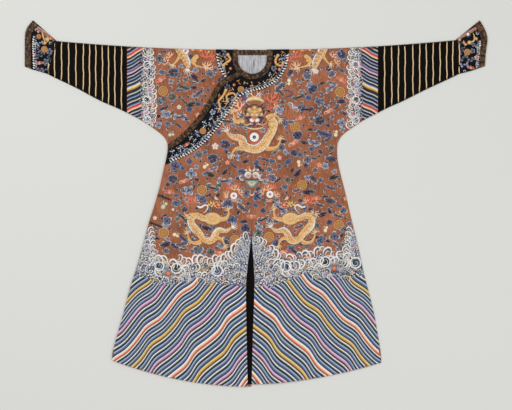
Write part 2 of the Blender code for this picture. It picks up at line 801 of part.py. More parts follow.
def make_cuffs():
    for side, name in ((RIGHT, "right"), (LEFT, "left")):
        start, end = cuff_lines(side)
        run = np.linalg.norm(end - start, axis=1)
        sag = np.array(CUFF_LOW[side], float)
        foot = np.array((CENTRE_X + side * sag[0], sag[1]))
        lines = []
        for t in np.linspace(0, 1, CUFF_STEPS + 1):
            share = t * (1 - (CUFF_BORDER + SEAM_GAP) / run)
            lines.append(start + (end - start) * share[:, None])
        border = []
        for t in np.linspace(0, 1, 3):
            share = 1 - (1 - t) * CUFF_BORDER / run
            border.append(start + (end - start) * share[:, None])
        for line in lines + border:
            near = 1 - min(1.0, np.linalg.norm(line[0] - foot) / CUFF_SAG_WITHIN)
            line[0][1] -= CUFF_SAG * near
        rings = [section(line, SLEEVE_THICK, WALL) for line in lines]
        tube("cuff_" + name, [r[0] for r in rings], [r[1] for r in rings], "navy satin")
        rings = [section(line, SLEEVE_THICK, WALL, CUFF_BORDER_LIFT) for line in border]
        tube("cuff_edge_" + name, [r[0] for r in rings], [r[1] for r in rings], "brocade")


def make_fasteners():
    for name, foot, ball in FASTENERS:
        bpy.ops.mesh.primitive_uv_sphere_add(
            segments=BALL_SEGMENTS, ring_count=BALL_RINGS, radius=BALL_RADIUS * MM,
            location=Vector((*ball, BALL_Z)) * MM)
        button = bpy.context.object
        button.name = button.data.name = "button_" + name
        button.data.materials.append(materials["gilt brass"])
        for user in list(button.users_collection):
            user.objects.unlink(button)
        robe.objects.link(button)
        lie = OVER_LEVEL + WALL + SEAM_GAP + CORD_RADIUS
        way = np.array((*ball, BALL_Z)) - (*foot, lie)
        reach = np.linalg.norm(way)
        stop = 1 - (BALL_RADIUS + SEAM_GAP) / reach
        points = [(foot[0] + way[0] * t * stop, foot[1] + way[1] * t * stop, lie)
                  for t in np.linspace(0, 1, CORD_STATIONS)]
        line = bpy.data.curves.new("loop_" + name, "CURVE")
        line.dimensions = "3D"
        line.bevel_depth = CORD_RADIUS * MM
        line.bevel_resolution = 2
        line.use_fill_caps = True
        spline = line.splines.new("POLY")
        spline.points.add(len(points) - 1)
        for slot, point in zip(spline.points, points):
            slot.co = (*(Vector(point) * MM), 1)
        add_object("loop_" + name, line, "black cord", robe)


def clear_scene():
    for obj in list(bpy.data.objects):
        bpy.data.objects.remove(obj, do_unlink=True)


def make_materials():
    made = {}
    for name, (colour, roughness, metallic) in FINISHES.items():
        material = bpy.data.materials.new(name)
        material.use_nodes = True
        shader = material.node_tree.nodes["Principled BSDF"]
        linear = [c / 12.92 if c < 0.04045 else ((c + 0.055) / 1.055) ** 2.4 for c in colour]
        shader.inputs["Base Color"].default_value = (*linear, 1)
        shader.inputs["Roughness"].default_value = roughness
        shader.inputs["Metallic"].default_value = metallic
        material.diffuse_color = (*linear, 1)
        made[name] = material
    return made


clear_scene()
robe = bpy.data.collections.new("chinese dragon robe")
bpy.context.scene.collection.children.link(robe)
materials = make_materials()
make_backs()
make_left_front()
make_under_front()
make_overlap()
make_lining()
make_collar()
make_right_collar()
make_back_binding()
make_sleeves()
make_cuffs()
make_fasteners()
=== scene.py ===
"""Dresses the dragon robe in silk, satin, brocade and raised silk embroidery.

Tables are in millimetres and the model is in metres. +X is the wearer's left, +Y points
to the neck and +Z out of the front. Left and right are the wearer's.
"""

import math
import random

import bmesh
import bpy
import numpy as np
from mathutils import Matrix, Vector


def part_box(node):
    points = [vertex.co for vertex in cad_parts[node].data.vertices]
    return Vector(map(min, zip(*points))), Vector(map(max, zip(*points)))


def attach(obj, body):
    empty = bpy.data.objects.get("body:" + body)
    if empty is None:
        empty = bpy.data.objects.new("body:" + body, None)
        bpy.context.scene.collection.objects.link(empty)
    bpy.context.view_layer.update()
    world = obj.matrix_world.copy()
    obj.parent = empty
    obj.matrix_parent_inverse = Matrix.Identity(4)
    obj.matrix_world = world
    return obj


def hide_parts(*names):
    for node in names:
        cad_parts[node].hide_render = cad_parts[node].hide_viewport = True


bl_info = {
    "name": "Dragon robe",
    "version": (1, 0, 0),
    "blender": (4, 5, 0),
    "location": "3D View > Sidebar > Robe",
    "description": "Silk, embroidery, stage and camera for a robe laid out flat",
    "category": "Object",
}

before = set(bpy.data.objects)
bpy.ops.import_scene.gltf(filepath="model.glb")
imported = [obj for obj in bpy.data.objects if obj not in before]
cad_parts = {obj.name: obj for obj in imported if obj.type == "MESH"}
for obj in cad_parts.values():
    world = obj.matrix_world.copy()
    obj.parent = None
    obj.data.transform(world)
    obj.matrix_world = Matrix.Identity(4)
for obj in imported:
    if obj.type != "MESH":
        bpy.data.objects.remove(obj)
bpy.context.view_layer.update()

MM = 0.001
RIGHT, LEFT = -1, 1
CENTRE_X = -20.0  # the centre seam
SEED = 11
TINY = 1e-9  # keeps a division by a length from failing
IMAGE = (512, 410)
SATIN_STITCH, GILT_THREAD = "Silk floss satin stitch", "Couched gilt thread"

# ---------------------------------------------------------------- colours


def linear(code):
    """An sRGB hex code as three linear values."""
    parts = [int(code[i:i + 2], 16) / 255 for i in (1, 3, 5)]
    return tuple(c / 12.92 if c < 0.04045 else ((c + 0.055) / 1.055) ** 2.4 for c in parts)


FLOSS = {
    "white": "#fdfaf5", "cream": "#f6e9cc", "ivory": "#e2d8b6", "pearl": "#dcd6d6",
    "ice": "#bccbe4", "sky": "#8197c2", "blue": "#4d629a", "navy": "#1d2246",
    "night": "#10121f", "lilac": "#aa9cb4", "plum": "#3d2c44", "mist": "#aeb1b6",
    "slate": "#6f7687", "steel": "#434b60", "teal": "#57758a", "fog": "#93a1ba",
    "denim": "#51648c", "rust": "#a9602f", "apricot": "#e6a55c",
    "aqua": "#9fb4cf", "sage": "#98a297", "moss": "#5f6f66",
    "pine": "#22332f", "rose": "#f0d0e4", "mauve": "#b880a6", "wine": "#5a2238",
    "peach": "#ffcfa8", "coral": "#ee7f5a", "brick": "#b04020", "blush": "#f8c6b2",
    "red": "#c9342a", "straw": "#f2db92", "gold": "#d9a13f", "amber": "#a9692a",
    "bronze": "#6b431c", "umber": "#3c2414", "honey": "#ebb672", "wheat": "#f2cd94",
    "tan": "#c08a50",
}
FLOSS = {name: linear(code) for name, code in FLOSS.items()}


# ---------------------------------------------------------------- sizes a user may change


def length(name, about, default, least, most):
    """A length that a user may change."""
    return bpy.props.FloatProperty(name=name, description=about, default=default, min=least,
                                   max=most, unit="LENGTH")


def colour(name, about, code):
    """A colour that a user may change."""
    return bpy.props.FloatVectorProperty(name=name, description=about, subtype="COLOR",
                                         default=linear(code), min=0, max=1)


class RobeSizes(bpy.types.PropertyGroup):
    """Sizes of the threads and motifs."""

    weave: length("Weave", "Spacing of the threads drawn in the cloth", 0.0022, 0.0005, 0.01)
    stitch: length("Stitch", "Spacing of the threads drawn in the embroidery", 0.0016, 0.0005,
                   0.01)
    lift: length("Lift", "How far an embroidered shape's edge stands over the cloth", 0.00012,
                 0.0, 0.002)
    cloud_gap: length("Cloud gap", "Least distance between the middles of two clouds", 0.056,
                      0.02, 0.2)


class RobeColours(bpy.types.PropertyGroup):
    """Colours of the cloths."""

    brown: colour("Brown silk", "Ground of the robe", "#9d6043")
    black: colour("Black silk", "Sleeves and vent", "#0a0806")
    navy: colour("Navy satin", "Collar band and cuffs", "#100e14")
    brocade: colour("Brocade", "Bindings at the neck and the cuffs", "#5c432f")
    lining: colour("Lining", "Pale silk inside the neck", "#b6b8bc")
    floor: colour("Floor", "Plain ground under the robe", "#e4e5e0")


# ---------------------------------------------------------------- node helper, materials


def add_node(tree, kind, inputs=(), **settings):
    """Adds a node, sets it and feeds its inputs with values or with other sockets."""
    node = tree.nodes.new(kind)
    for name, value in settings.items():
        setattr(node, name, value)
    for key, value in dict(inputs).items():
        if isinstance(value, bpy.types.NodeSocket):
            tree.links.new(value, node.inputs[key])
        else:
            node.inputs[key].default_value = value
    return node


def new_material(name, **sockets):
    """A material with its shader's own sockets set; returns it, its tree and its shader."""
    material = bpy.data.materials.new(name)
    material.use_nodes = True
    shader = material.node_tree.nodes["Principled BSDF"]
    for key, value in sockets.items():
        shader.inputs[key.replace("_", " ")].default_value = value
    return material, material.node_tree, shader


def shades(tree, fac, stops):
    """A colour ramp from a list of place and colour."""
    ramp = add_node(tree, "ShaderNodeValToRGB", {"Fac": fac})
    elements = ramp.color_ramp.elements
    while len(elements) < len(stops):
        elements.new(0.5)
    for element, (place, colour) in zip(elements, stops):
        element.position = place
        element.color = (*colour, 1)
    return ramp.outputs["Color"]


def scaled(colour, factor):
    """A colour made lighter or darker."""
    return tuple(min(1.0, c * factor) for c in colour)


def maths(tree, operation, *inputs):
    """The result of a math node."""
    return add_node(tree, "ShaderNodeMath", dict(enumerate(inputs)),
                    operation=operation).outputs[0]


def noise(tree, vector, scale, detail=2.0, roughness=0.5):
    """The value of a noise texture."""
    return add_node(tree, "ShaderNodeTexNoise", {
        "Vector": vector, "Scale": scale, "Detail": detail,
        "Roughness": roughness}).outputs["Fac"]


def drawn_out(tree, vector, scale):
    """A place scaled by an amount of its own along each axis."""
    return add_node(tree, "ShaderNodeMapping", {
        "Vector": vector, "Scale": scale}).outputs["Vector"]


def object_place(tree):
    """A point's place on its object."""
    return add_node(tree, "ShaderNodeTexCoord").outputs["Object"]


def coloured(tree, shader, colour, height, strength, depth):
    """Gives a shader its colour and its bump."""
    tree.links.new(colour, shader.inputs["Base Color"])
    bump = add_node(tree, "ShaderNodeBump", {
        "Height": height, "Strength": strength, "Distance": depth})
    tree.links.new(bump.outputs["Normal"], shader.inputs["Normal"])


def woven_silk(name, colour, weave, mottle, shine, fade_and_crease_stretch=(9.0, 9.0)):
    """A cloth of fine threads whose dye has faded unevenly, across and along the threads; drawn
    out far along one axis, the fading paints crease shade and light as streaks.
    """
    material, tree, shader = new_material(name, Roughness=0.6, Specular_IOR_Level=shine)
    place = object_place(tree)
    # On the lining this noise is drawn out into upright streaks: painted shade and light of
    # creases
    fading_and_crease_shade = noise(tree, drawn_out(tree, place, (*fade_and_crease_stretch, 9.0)), 1.0, 4.0, 0.6)
    thread = noise(tree, drawn_out(tree, place, (1 / weave, 0.06 / weave, 1.0)), 0.9)
    both = maths(tree, "MULTIPLY", maths(tree, "ADD", fading_and_crease_shade, thread), 0.5)
    dye = shades(tree, both, [
        (0.38, scaled(colour, 1 - mottle)), (0.5, colour), (0.62, scaled(colour, 1 + mottle))])
    coloured(tree, shader, dye, thread, 0.35, 0.0006)
    return material


def brocade_cloth(name, colour):
    """Brown silk brocade: small dark scrolls and gold flecks woven across a bronze ground."""
    material, tree, shader = new_material(name, Roughness=0.6, Specular_IOR_Level=0.2)
    place = object_place(tree)
    bend = add_node(tree, "ShaderNodeTexNoise", {
        "Vector": place, "Scale": 60.0, "Detail": 2.0}).outputs["Color"]
    bent = add_node(tree, "ShaderNodeVectorMath", {0: bend, 1: (0.02, 0.02, 0), 2: place},
                    operation="MULTIPLY_ADD")
    scroll = add_node(tree, "ShaderNodeTexVoronoi", {
        "Vector": bent.outputs[0], "Scale": 96.0}, feature="F1").outputs["Distance"]
    ground = shades(tree, scroll, [
        (0.0, linear("#93764c")), (0.24, linear("#6b4a2c")), (0.4, scaled(colour, 0.85)),
        (0.58, linear("#352314")), (0.85, linear("#20150c"))])
    fleck = add_node(tree, "ShaderNodeTexVoronoi", {
        "Vector": place, "Scale": 120.0, "Randomness": 0.8}).outputs["Distance"]
    spot = shades(tree, fleck, [(0.16, (1, 1, 1)), (0.24, (0, 0, 0))])
    mixed = add_node(tree, "ShaderNodeMix", {
        0: spot, 6: ground, 7: (*linear("#86735c"), 1)}, data_type="RGBA")
    coloured(tree, shader, mixed.outputs[2], scroll, 0.5, 0.0008)
    return material


def stitched_floss(name, roughness, metallic, gloss, pitch, along):
    """Embroidery: each shape's own colour, in parallel threads that catch the light."""
    material, tree, shader = new_material(
        name, Roughness=roughness, Metallic=metallic, Specular_IOR_Level=gloss)
    colour = add_node(tree, "ShaderNodeVertexColor", layer_name="Floss").outputs["Color"]
    thread = add_node(tree, "ShaderNodeUVMap", uv_map="Thread").outputs["UV"]
    axis = add_node(tree, "ShaderNodeSeparateXYZ", {0: thread}).outputs[1 if along else 0]
    wave = maths(tree, "SINE", maths(tree, "MULTIPLY", axis, math.tau * MM / pitch))
    wear = noise(tree, object_place(tree), 140.0, 3.0, 0.7)
    tone = shades(tree, wear, [(0.3, (0.62,) * 3), (0.5, (0.95,) * 3), (0.7, (1.0,) * 3)])
    worn = add_node(tree, "ShaderNodeMix", {0: 0.75, 6: colour, 7: tone},
                    data_type="RGBA", blend_type="MULTIPLY")
    coloured(tree, shader, worn.outputs[2], wave, 0.3, 0.0003)
    return material


def make_materials(sizes, colours):
    """Every finish of the robe, by its name."""
    weave = sizes.weave
    made = [
        # Reeled silk in a satin weave: soft sheen, a faded uneven red-brown
        woven_silk("Brown silk satin", tuple(colours.brown), weave, 0.42, 0.2),
        # Plain woven silk: matt and nearly black
        woven_silk("Black plain silk", tuple(colours.black), weave, 0.35, 0.06),
        # Dense satin: dark, with a slow shine
        woven_silk("Navy silk satin", tuple(colours.navy), weave, 0.25, 0.08),
        # Glazed plain lining silk: pale, with a cool cast, and soft upright creases painted into
        # its colour as streaks of shade and light
        woven_silk("Pale lining silk", tuple(colours.lining), weave, 0.6, 0.2, (90.0, 8.0)),
        # Silk brocade ribbon: a small dark and gold repeat on bronze
        brocade_cloth("Brocaded silk binding", tuple(colours.brocade)),
        # Untwisted silk floss in satin stitch: the threads run across each shape
        stitched_floss(SATIN_STITCH, 0.5, 0.0, 0.3, sizes.stitch, False),
        # Gilt paper wound on silk and couched down: the threads run along each shape
        stitched_floss(GILT_THREAD, 0.45, 0.15, 0.35, sizes.stitch, True),
        # Three strands of silk twisted into a cord: dark and dull
        new_material("Twisted silk cord", Roughness=0.6, Sheen_Weight=0.2,
                     Base_Color=(*linear("#1d1613"), 1))[0],
    ]
    # Cast brass, gilded and handled: warm, scuffed where it rubs
    brass, tree, shader = new_material("Gilt cast brass", Metallic=1.0)
    rub = noise(tree, object_place(tree), 500.0)
    tone = shades(tree, rub, [(0.35, linear("#2e2413")), (0.65, linear("#8a6c3a"))])
    gloss = shades(tree, rub, [(0.3, (0.5,) * 3), (0.7, (0.25,) * 3)])
    tree.links.new(tone, shader.inputs["Base Color"])
    tree.links.new(gloss, shader.inputs["Roughness"])
    return {material.name: material for material in made + [brass]}


# ---------------------------------------------------------------- cloth shells


RIPPLE_HEIGHT = 0.11
RIPPLES = (  # wavelength across over tau, wavelength along over tau, phase
    (71, 12, 0.3), (-38, 66, 1.9), (55, -47, 4.1), (-90, -31, 2.2), (17, 101, 5.0))


def ripple(x, y):
    """Slow unevenness of cloth that lies on a floor, in millimetres."""
    return sum(RIPPLE_HEIGHT * np.sin(x / a + y / b + c) for a, b, c in RIPPLES)


WELD = 1e-6  # points nearer than this, in metres, are one
RIM_ANGLE = math.radians(50)  # edges bent more than this keep their corner when smoothed
SHARP_ANGLE = math.radians(40)
FLOOR_LAYER = (0.0015, 0.001)  # cloth starts to ripple above this, over this height


def welded(node):
    """A node's solid as an editable mesh with its doubled points merged."""
    bm = bmesh.new()
    bm.from_mesh(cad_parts[node].data)
    bmesh.ops.remove_doubles(bm, verts=bm.verts, dist=WELD)
    return bm


def shell(name, node, level):
    """The cloth of a node as a fine smooth shell with creased rims."""
    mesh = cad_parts[node].data.copy()
    bm = welded(node)
    bmesh.ops.dissolve_degenerate(bm, edges=bm.edges, dist=WELD)
    crease = bm.edges.layers.float.new("crease_edge")
    for edge in bm.edges:
        if len(edge.link_faces) != 2 or edge.calc_face_angle(0) > RIM_ANGLE:
            edge[crease] = 1.0
    bm.to_mesh(mesh)
    bm.free()
    obj = bpy.data.objects.new(name, mesh)
    bpy.context.scene.collection.objects.link(obj)
    fine = obj.modifiers.new("fine", "SUBSURF")
    fine.levels = fine.render_levels = level
    fine.boundary_smooth = "PRESERVE_CORNERS"
    mesh = settled(obj)
    co = np.empty(len(mesh.vertices) * 3)
    mesh.vertices.foreach_get("co", co)
    co = co.reshape(-1, 3)
    start, over = FLOOR_LAYER
    lying = np.clip((co[:, 2] - start) / over, 0, 1)
    co[:, 2] += lying * ripple(co[:, 0] / MM, co[:, 1] / MM) * MM
    co[:, 2] = np.maximum(co[:, 2], 0.0)
    mesh.vertices.foreach_set("co", co.ravel())
    mesh.polygons.foreach_set("use_smooth", [True] * len(mesh.polygons))
    mesh.set_sharp_from_angle(angle=SHARP_ANGLE)
    return obj


def settled(obj):
    """Turns an object's modifiers into its plain mesh."""
    graph = bpy.context.evaluated_depsgraph_get()
    done = bpy.data.meshes.new_from_object(
        obj.evaluated_get(graph), preserve_all_data_layers=True, depsgraph=graph)
    obj.modifiers.clear()
    old = obj.data
    obj.data = done
    done.name = obj.name
    bpy.data.meshes.remove(old)
    return done


FACING_UP = 0.08  # a face whose normal rises more than this is seen from above


def outline_of(node):
    """The edge of a node as seen from above, as a closed line in millimetres."""
    bm = welded(node)
    bm.verts.index_update()
    faces = [face for face in bm.faces if face.normal.z > FACING_UP]
    up, ahead = set(faces), {}
    for face in faces:  # in the mesh's order, so that the line is the same at each run
        for loop in face.loops:
            if sum(other in up for other in loop.edge.link_faces) == 1:
                ahead.setdefault(loop.vert.index, []).append(loop.link_loop_next.vert.index)
    place = {vert.index: (vert.co.x / MM, vert.co.y / MM) for vert in bm.verts}
    bm.free()
    lines = []
    while ahead:
        at, line = next(iter(ahead)), []
        while at in ahead:
            line.append(place[at])
            onward = ahead[at].pop()
            if not ahead[at]:
                del ahead[at]
            at = onward
        lines.append(line)
    return max(lines, key=lambda line: abs(area_of(line)))


def area_of(line):
    """Signed area inside a closed line."""
    pts = np.array(line)
    x, y = pts[:, 0], pts[:, 1]
    return float(np.dot(x, np.roll(y, -1)) - np.dot(y, np.roll(x, -1))) / 2


def inside(outline, points):
    """Which points lie in a closed line."""
    pts = np.atleast_2d(points)
    edge = np.array(outline)
    hit = np.zeros(len(pts), bool)
    for (ax, ay), (bx, by) in zip(edge, np.roll(edge, -1, axis=0)):
        if ay == by:
            continue
        crosses = (ay > pts[:, 1]) != (by > pts[:, 1])
        hit ^= crosses & (pts[:, 0] < ax + (pts[:, 1] - ay) / (by - ay) * (bx - ax))
    return hit


def onto_edge(outline, point):
    """The nearest point to a point on each side of a closed line."""
    edge = np.array(outline, float)
    run = np.roll(edge, -1, axis=0) - edge
    t = ((point - edge) * run).sum(1) / np.maximum((run**2).sum(1), TINY)
    return edge + np.clip(t, 0, 1)[:, None] * run


def distance_to(outline, points):
    """Distance of each point to a closed line."""
    pts = np.atleast_2d(points)
    edge = np.array(outline)
    best = np.full(len(pts), np.inf)
    for a, b in zip(edge, np.roll(edge, -1, axis=0)):
        run = b - a
        t = np.clip(((pts - a) @ run) / max(run @ run, TINY), 0, 1)
        best = np.minimum(best, np.linalg.norm(pts - a - t[:, None] * run, axis=1))
    return best


def headings(line):
    """Unit vectors to the left of a line and along it, at each of its points."""
    along = np.gradient(line, axis=0)
    along /= np.maximum(np.linalg.norm(along, axis=1), TINY)[:, None]
    return np.stack([-along[:, 1], along[:, 0]], 1), along


def run_of(path):
    """How far along a path each of its points is."""
    steps = np.linalg.norm(np.diff(path, axis=0), axis=1)
    return np.concatenate([[0], np.cumsum(steps)])


def along_path(path, run, at):
    """The points of a path at some distances along it."""
    return np.stack([np.interp(at, run, path[:, 0]), np.interp(at, run, path[:, 1])], 1)


def turned(points, degrees):
    """Points turned about the origin."""
    cos, sin = math.cos(math.radians(degrees)), math.sin(math.radians(degrees))
    return [(x * cos - y * sin, x * sin + y * cos) for x, y in points]


# Node, material, slot, subdivision level, what it lies on
CLOTHS = (
    ("back_right", "Brown silk satin", "brown_silk", 1, ["floor"]),
    ("back_left", "Brown silk satin", "brown_silk", 1, ["floor"]),
    ("under_front", "Brown silk satin", "brown_silk", 1, ["back_right_silk"]),
    ("front_left", "Brown silk satin", "brown_silk", 1, ["back_left_silk"]),
    ("overlap", "Brown silk satin", "brown_silk", 1, ["under_front_silk"]),
    ("neck_lining", "Pale lining silk", "pale_lining", 2, ["back_left_silk"]),
    ("vent_underlay", "Black plain silk", "black_silk", 2, ["back_left_silk"]),
    ("sleeve_right", "Black plain silk", "black_silk", 1, ["floor"]),
    ("sleeve_left", "Black plain silk", "black_silk", 1, ["floor"]),
    ("cuff_right", "Navy silk satin", "navy_satin", 2, ["floor"]),
    ("cuff_left", "Navy silk satin", "navy_satin", 2, ["floor"]),
    ("cuff_edge_right", "Brocaded silk binding", "brocade", 2, ["floor"]),
    ("cuff_edge_left", "Brocaded silk binding", "brocade", 2, ["floor"]),
    ("collar_band", "Navy silk satin", "navy_satin", 2, ["front_left_silk"]),
    ("collar_band_right", "Navy silk satin", "navy_satin", 2, ["under_front_silk"]),
    ("collar_binding", "Brocaded silk binding", "brocade", 2, ["front_left_silk"]),
    ("collar_binding_right", "Brocaded silk binding", "brocade", 2, ["under_front_silk"]),
    ("collar_binding_back", "Brocaded silk binding", "brocade", 2, ["neck_lining_silk"]),
)


def cloth_area(mesh):
    """Area of one layer of a closed cloth, in square metres."""
    return sum(face.area for face in mesh.polygons) / 2


LEAST_SHARE = 0.3  # a slanting strip fills less of its box than this


def declare_cloth(obj, node):
    """Ties a finished cloth to the frame, hides its solid and works out the width and length of
    its cut, which are not kept.
    """
    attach(obj, "root")
    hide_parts(node)
    low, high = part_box(node)
    width, length = high[0] - low[0], high[1] - low[1]
    area = cloth_area(obj.data)
    if area > width * length or area < LEAST_SHARE * width * length:
        length = max(width, length)
        width = area / length


# ---------------------------------------------------------------- needlework shapes


def smooth(points, count):
    """Evenly spaced points on a smooth curve through the given ones."""
    path = np.array(points, float)
    if len(path) > 2:
        ends = np.vstack([2 * path[0] - path[1], path, 2 * path[-1] - path[-2]])
        t = np.linspace(0, 1, 8, endpoint=False)[:, None]
        parts = []
        for a, b, c, d in zip(ends, ends[1:], ends[2:], ends[3:]):
            parts.append(0.5 * (2 * b + (c - a) * t + (2 * a - 5 * b + 4 * c - d) * t**2
                                + (3 * b - a - 3 * c + d) * t**3))
        path = np.vstack(parts + [path[-1:]])
    run = run_of(path)
    return along_path(path, run, np.linspace(0, run[-1], count))


def arc(centre, radius, start, end, count):
    """Points on an arc, angles in degrees."""
    turn = np.radians(np.linspace(start, end, count))
    return np.stack([centre[0] + radius * np.cos(turn), centre[1] + radius * np.sin(turn)], 1)


def leaf(t):
    """Pointed at both ends."""
    return np.sin(np.pi * t) ** 0.75


def comma(t):
    """Round at the start, pointed at the end."""
    return np.minimum(1, (t / 0.12 + 0.05)) ** 0.5 * (1 - t) ** 0.7


def rod(t):
    """Even, with blunt ends."""
    return np.clip(np.minimum(t, 1 - t) / 0.06, 0.25, 1) ** 0.5


def even(t):
    """Even, with cut ends."""
    return np.ones_like(t)


def flosses(colours, least):
    """Names of colours as a list of at least some length; the last one is repeated."""
    colours = colours.split() if isinstance(colours, str) else list(colours)
    return colours + colours[-1:] * (least - len(colours))


class Needlework:
    """Raised stitched shapes, gathered as one mesh.

    Colours are names in one string, or a list of names.
    """

    def __init__(self):
        self.points, self.colours, self.threads, self.faces = [], [], [], []
        self.count = 0

    def loft(self, lines, heights, colours):
        """A surface through lines of points, with a height and a colour for each line."""
        grid = np.stack([np.asarray(line, float) for line in lines])
        rows, cols = grid.shape[:2]
        colours = flosses(colours, rows)
        a, b, c = grid[0, 0], grid[0, -1], grid[-1, cols // 2]
        flip = (b[0] - a[0]) * (c[1] - a[1]) - (b[1] - a[1]) * (c[0] - a[0]) < 0
        along = run_of(grid[rows // 2])
        for row in range(rows):
            across = float(np.linalg.norm(grid[row] - grid[0], axis=1).mean())
            for col in range(cols):
                self.points.append((*grid[row, col], heights[row]))
                self.colours.append(FLOSS[colours[row]])
                self.threads.append((along[col], across))
        base = self.count
        for row in range(rows - 1):
            for col in range(cols - 1):
                at = base + row * cols + col
                quad = (at, at + 1, at + cols + 1, at + cols)
                self.faces.append(quad[::-1] if flip else quad)
        self.count += rows * cols

    def stroke(self, path, half, colours, shape, rise, count=None):
        """A raised ribbon along a path; colours run from its left edge to its right."""
        path = np.array(path, float)
        count = count or int(np.clip(run_of(path)[-1] / 5, 4, 40))
        line = smooth(path, count)
        left, _ = headings(line)
        reach = (half * shape(np.linspace(0, 1, count)))[:, None]
        colours = flosses(colours, 3)
        places = np.linspace(1, -1, len(colours))
        heights = [rise * (1 - place**2) for place in places]
        self.loft([line + left * reach * place for place in places], heights, colours)
        return line

    def add(self, part, x, y, turn=0.0, size=1.0):
        """Copies other shapes in, turned by degrees and scaled."""
        cos, sin = size * math.cos(math.radians(turn)), size * math.sin(math.radians(turn))
        self.faces += [tuple(self.count + i for i in face) for face in part.faces]
        self.points += [(x + a * cos - b * sin, y + a * sin + b * cos, c)
                        for a, b, c in part.points]
        self.colours += part.colours
        self.threads += part.threads
        self.count = len(self.points)

    def patch(self, outline, colours, rise, centre=None):
        """A domed patch inside an outline; colours run from its edge to its middle."""
        colours = flosses(colours, 2)
        edge = np.array(outline, float)
        middle = edge.mean(0) if centre is None else np.array(centre, float)
        rings = np.linspace(1, 0, len(colours))
        if area_of(edge) < 0:
            edge = edge[::-1]
        base, size = self.count, len(edge)
        for ring, colour in zip(rings[:-1], colours):
            for x, y in middle + (edge - middle) * ring:
                self.points.append((x, y, rise * (1 - ring**2)))
                self.colours.append(FLOSS[colour])
                self.threads.append((x, y))
        self.points.append((*middle, rise))
        self.colours.append(FLOSS[colours[-1]])
        self.threads.append(tuple(middle))
        for row in range(len(colours) - 2):
            for i in range(size):
                a, b = base + row * size + i, base + row * size + (i + 1) % size
                self.faces.append((a, b, b + size, a + size))
        last = base + (len(colours) - 2) * size
        for i in range(size):
            self.faces.append((last + i, last + (i + 1) % size, last + size))
        self.count = len(self.points)

    def dot(self, centre, radius, colours, count=8, squash=1.0, turn=0.0, rise=0.8):
        """A round or oval domed patch."""
        angle = np.linspace(0, math.tau, count, endpoint=False)
        oval = np.stack([radius * np.cos(angle), radius * squash * np.sin(angle)], 1)
        cos, sin = math.cos(math.radians(turn)), math.sin(math.radians(turn))
        oval = oval @ np.array(((cos, sin), (-sin, cos)))
        self.patch(oval + centre, colours, rise, centre)

    def ring(self, centre, radius, half, colours, count, rise):
        """A raised ring."""
        self.stroke(arc(centre, radius, 0, 360, count), half, colours, even, rise, count)

    def mesh(self, name):
        """The gathered shapes as a mesh with floss colours and thread directions."""
        mesh = bpy.data.meshes.new(name)
        mesh.from_pydata([(x * MM, y * MM, z * MM) for x, y, z in self.points], [], self.faces)
        colours = mesh.color_attributes.new("Floss", "FLOAT_COLOR", "POINT")
        flat = np.ones((self.count, 4), np.float32)
        flat[:, :3] = self.colours
        colours.data.foreach_set("color", flat.ravel())
        threads = mesh.uv_layers.new(name="Thread")
        loops = np.empty(len(mesh.loops), np.int32)
        mesh.loops.foreach_get("vertex_index", loops)
        uvs = np.array(self.threads, np.float32)[loops]
        threads.data.foreach_set("uv", uvs.ravel())
        mesh.polygons.foreach_set("use_smooth", [True] * len(mesh.polygons))
        return mesh


# ---------------------------------------------------------------- motifs about their middles

# The lobes of a cloud as x, y, radius and facing in degrees, then the paths of its dark
# strokes, then half the width of those
CLOUDS = (
    (((-10, 6, 9, 130), (8, 9, 9, 60), (-3, -7, 9, 250), (13, -4, 8, 320), (-17, -6, 7, 200)),
     (((-15, 1), (-3, 4), (9, 1)), ((-4, 3), (-5, -8))), 2.6),
    (((-23, -5, 7.5, 200), (-11, 4, 9, 110), (3, -4, 8.5, 270), (14, 4, 9, 70),
      (25, -3, 7, 340)), (((-27, -4), (-11, -1), (4, 1), (16, -1), (29, 0)),), 3.0),
    (((0, 12, 9, 90), (-12, -1, 9, 190), (11, -2, 9, 350), (-2, -12, 7, 270)),
     (((-13, 3), (0, 4), (12, 2)), ((0, 6), (-1, -10))), 2.8),
    (((-14, 8, 8.5, 140), (-2, 12, 8, 90), (9, 4, 9, 30), (2, -8, 9, 280), (-12, -9, 8, 220)),
     (((-16, 3), (-3, 6), (5, -1), (-8, -6)),), 2.8),
    (((-22, 5, 8, 120), (-15, -6, 7.5, 230), (17, 7, 8, 60), (22, -4, 7.5, 330), (1, 2, 7, 90)),
     (((-25, 0), (-9, 1), (8, -1), (27, 3)),), 3.6),
    (((-16, -7, 7, 210), (17, 8, 7, 30), (3, 8, 6.5, 100)),
     (((-28, -12), (-11, -5), (2, 2), (14, 4), (29, 13)), ((-12, -14), (4, -6), (16, -7))), 4.4),
    (((-7, 1, 9, 160), (6, 5, 9, 60), (5, -6, 8, 300)), (((-10, 2), (1, 1), (8, -1)),), 3.0),
)

# Rim, body and dark heart of a cloud, edge and core of its strokes
CLOUD_FLOSS = (
    "mist slate steel navy night",
    "fog steel navy navy night",
    "mist moss steel pine night",
    "pearl fog slate steel navy",
    "pearl slate plum navy steel",
    "fog denim plum night navy",
    "ivory slate steel navy navy",
)


def cloud(work, shape, colours):
    """Touching lobes with a pale rim outside and dark scrolls within."""
    rim, body, heart, edge, core = colours.split()
    lobes, strokes, half = shape
    for x, y, radius, facing in lobes:
        work.dot((x, y), radius, (body, body, heart), 9, rise=0.6)
    for x, y, radius, facing in lobes:
        work.stroke(arc((x, y), radius - 1, facing - 82, facing + 82, 8), 2.2, (body, rim, rim),
                    leaf, 1.1, 8)
        work.stroke(arc((x, y), radius * 0.45, facing - 60, facing + 150, 5), 1.3, edge, comma,
                    0.9, 5)
    for path in strokes:
        work.stroke(path, half, (edge, core, edge), leaf, 1.1)


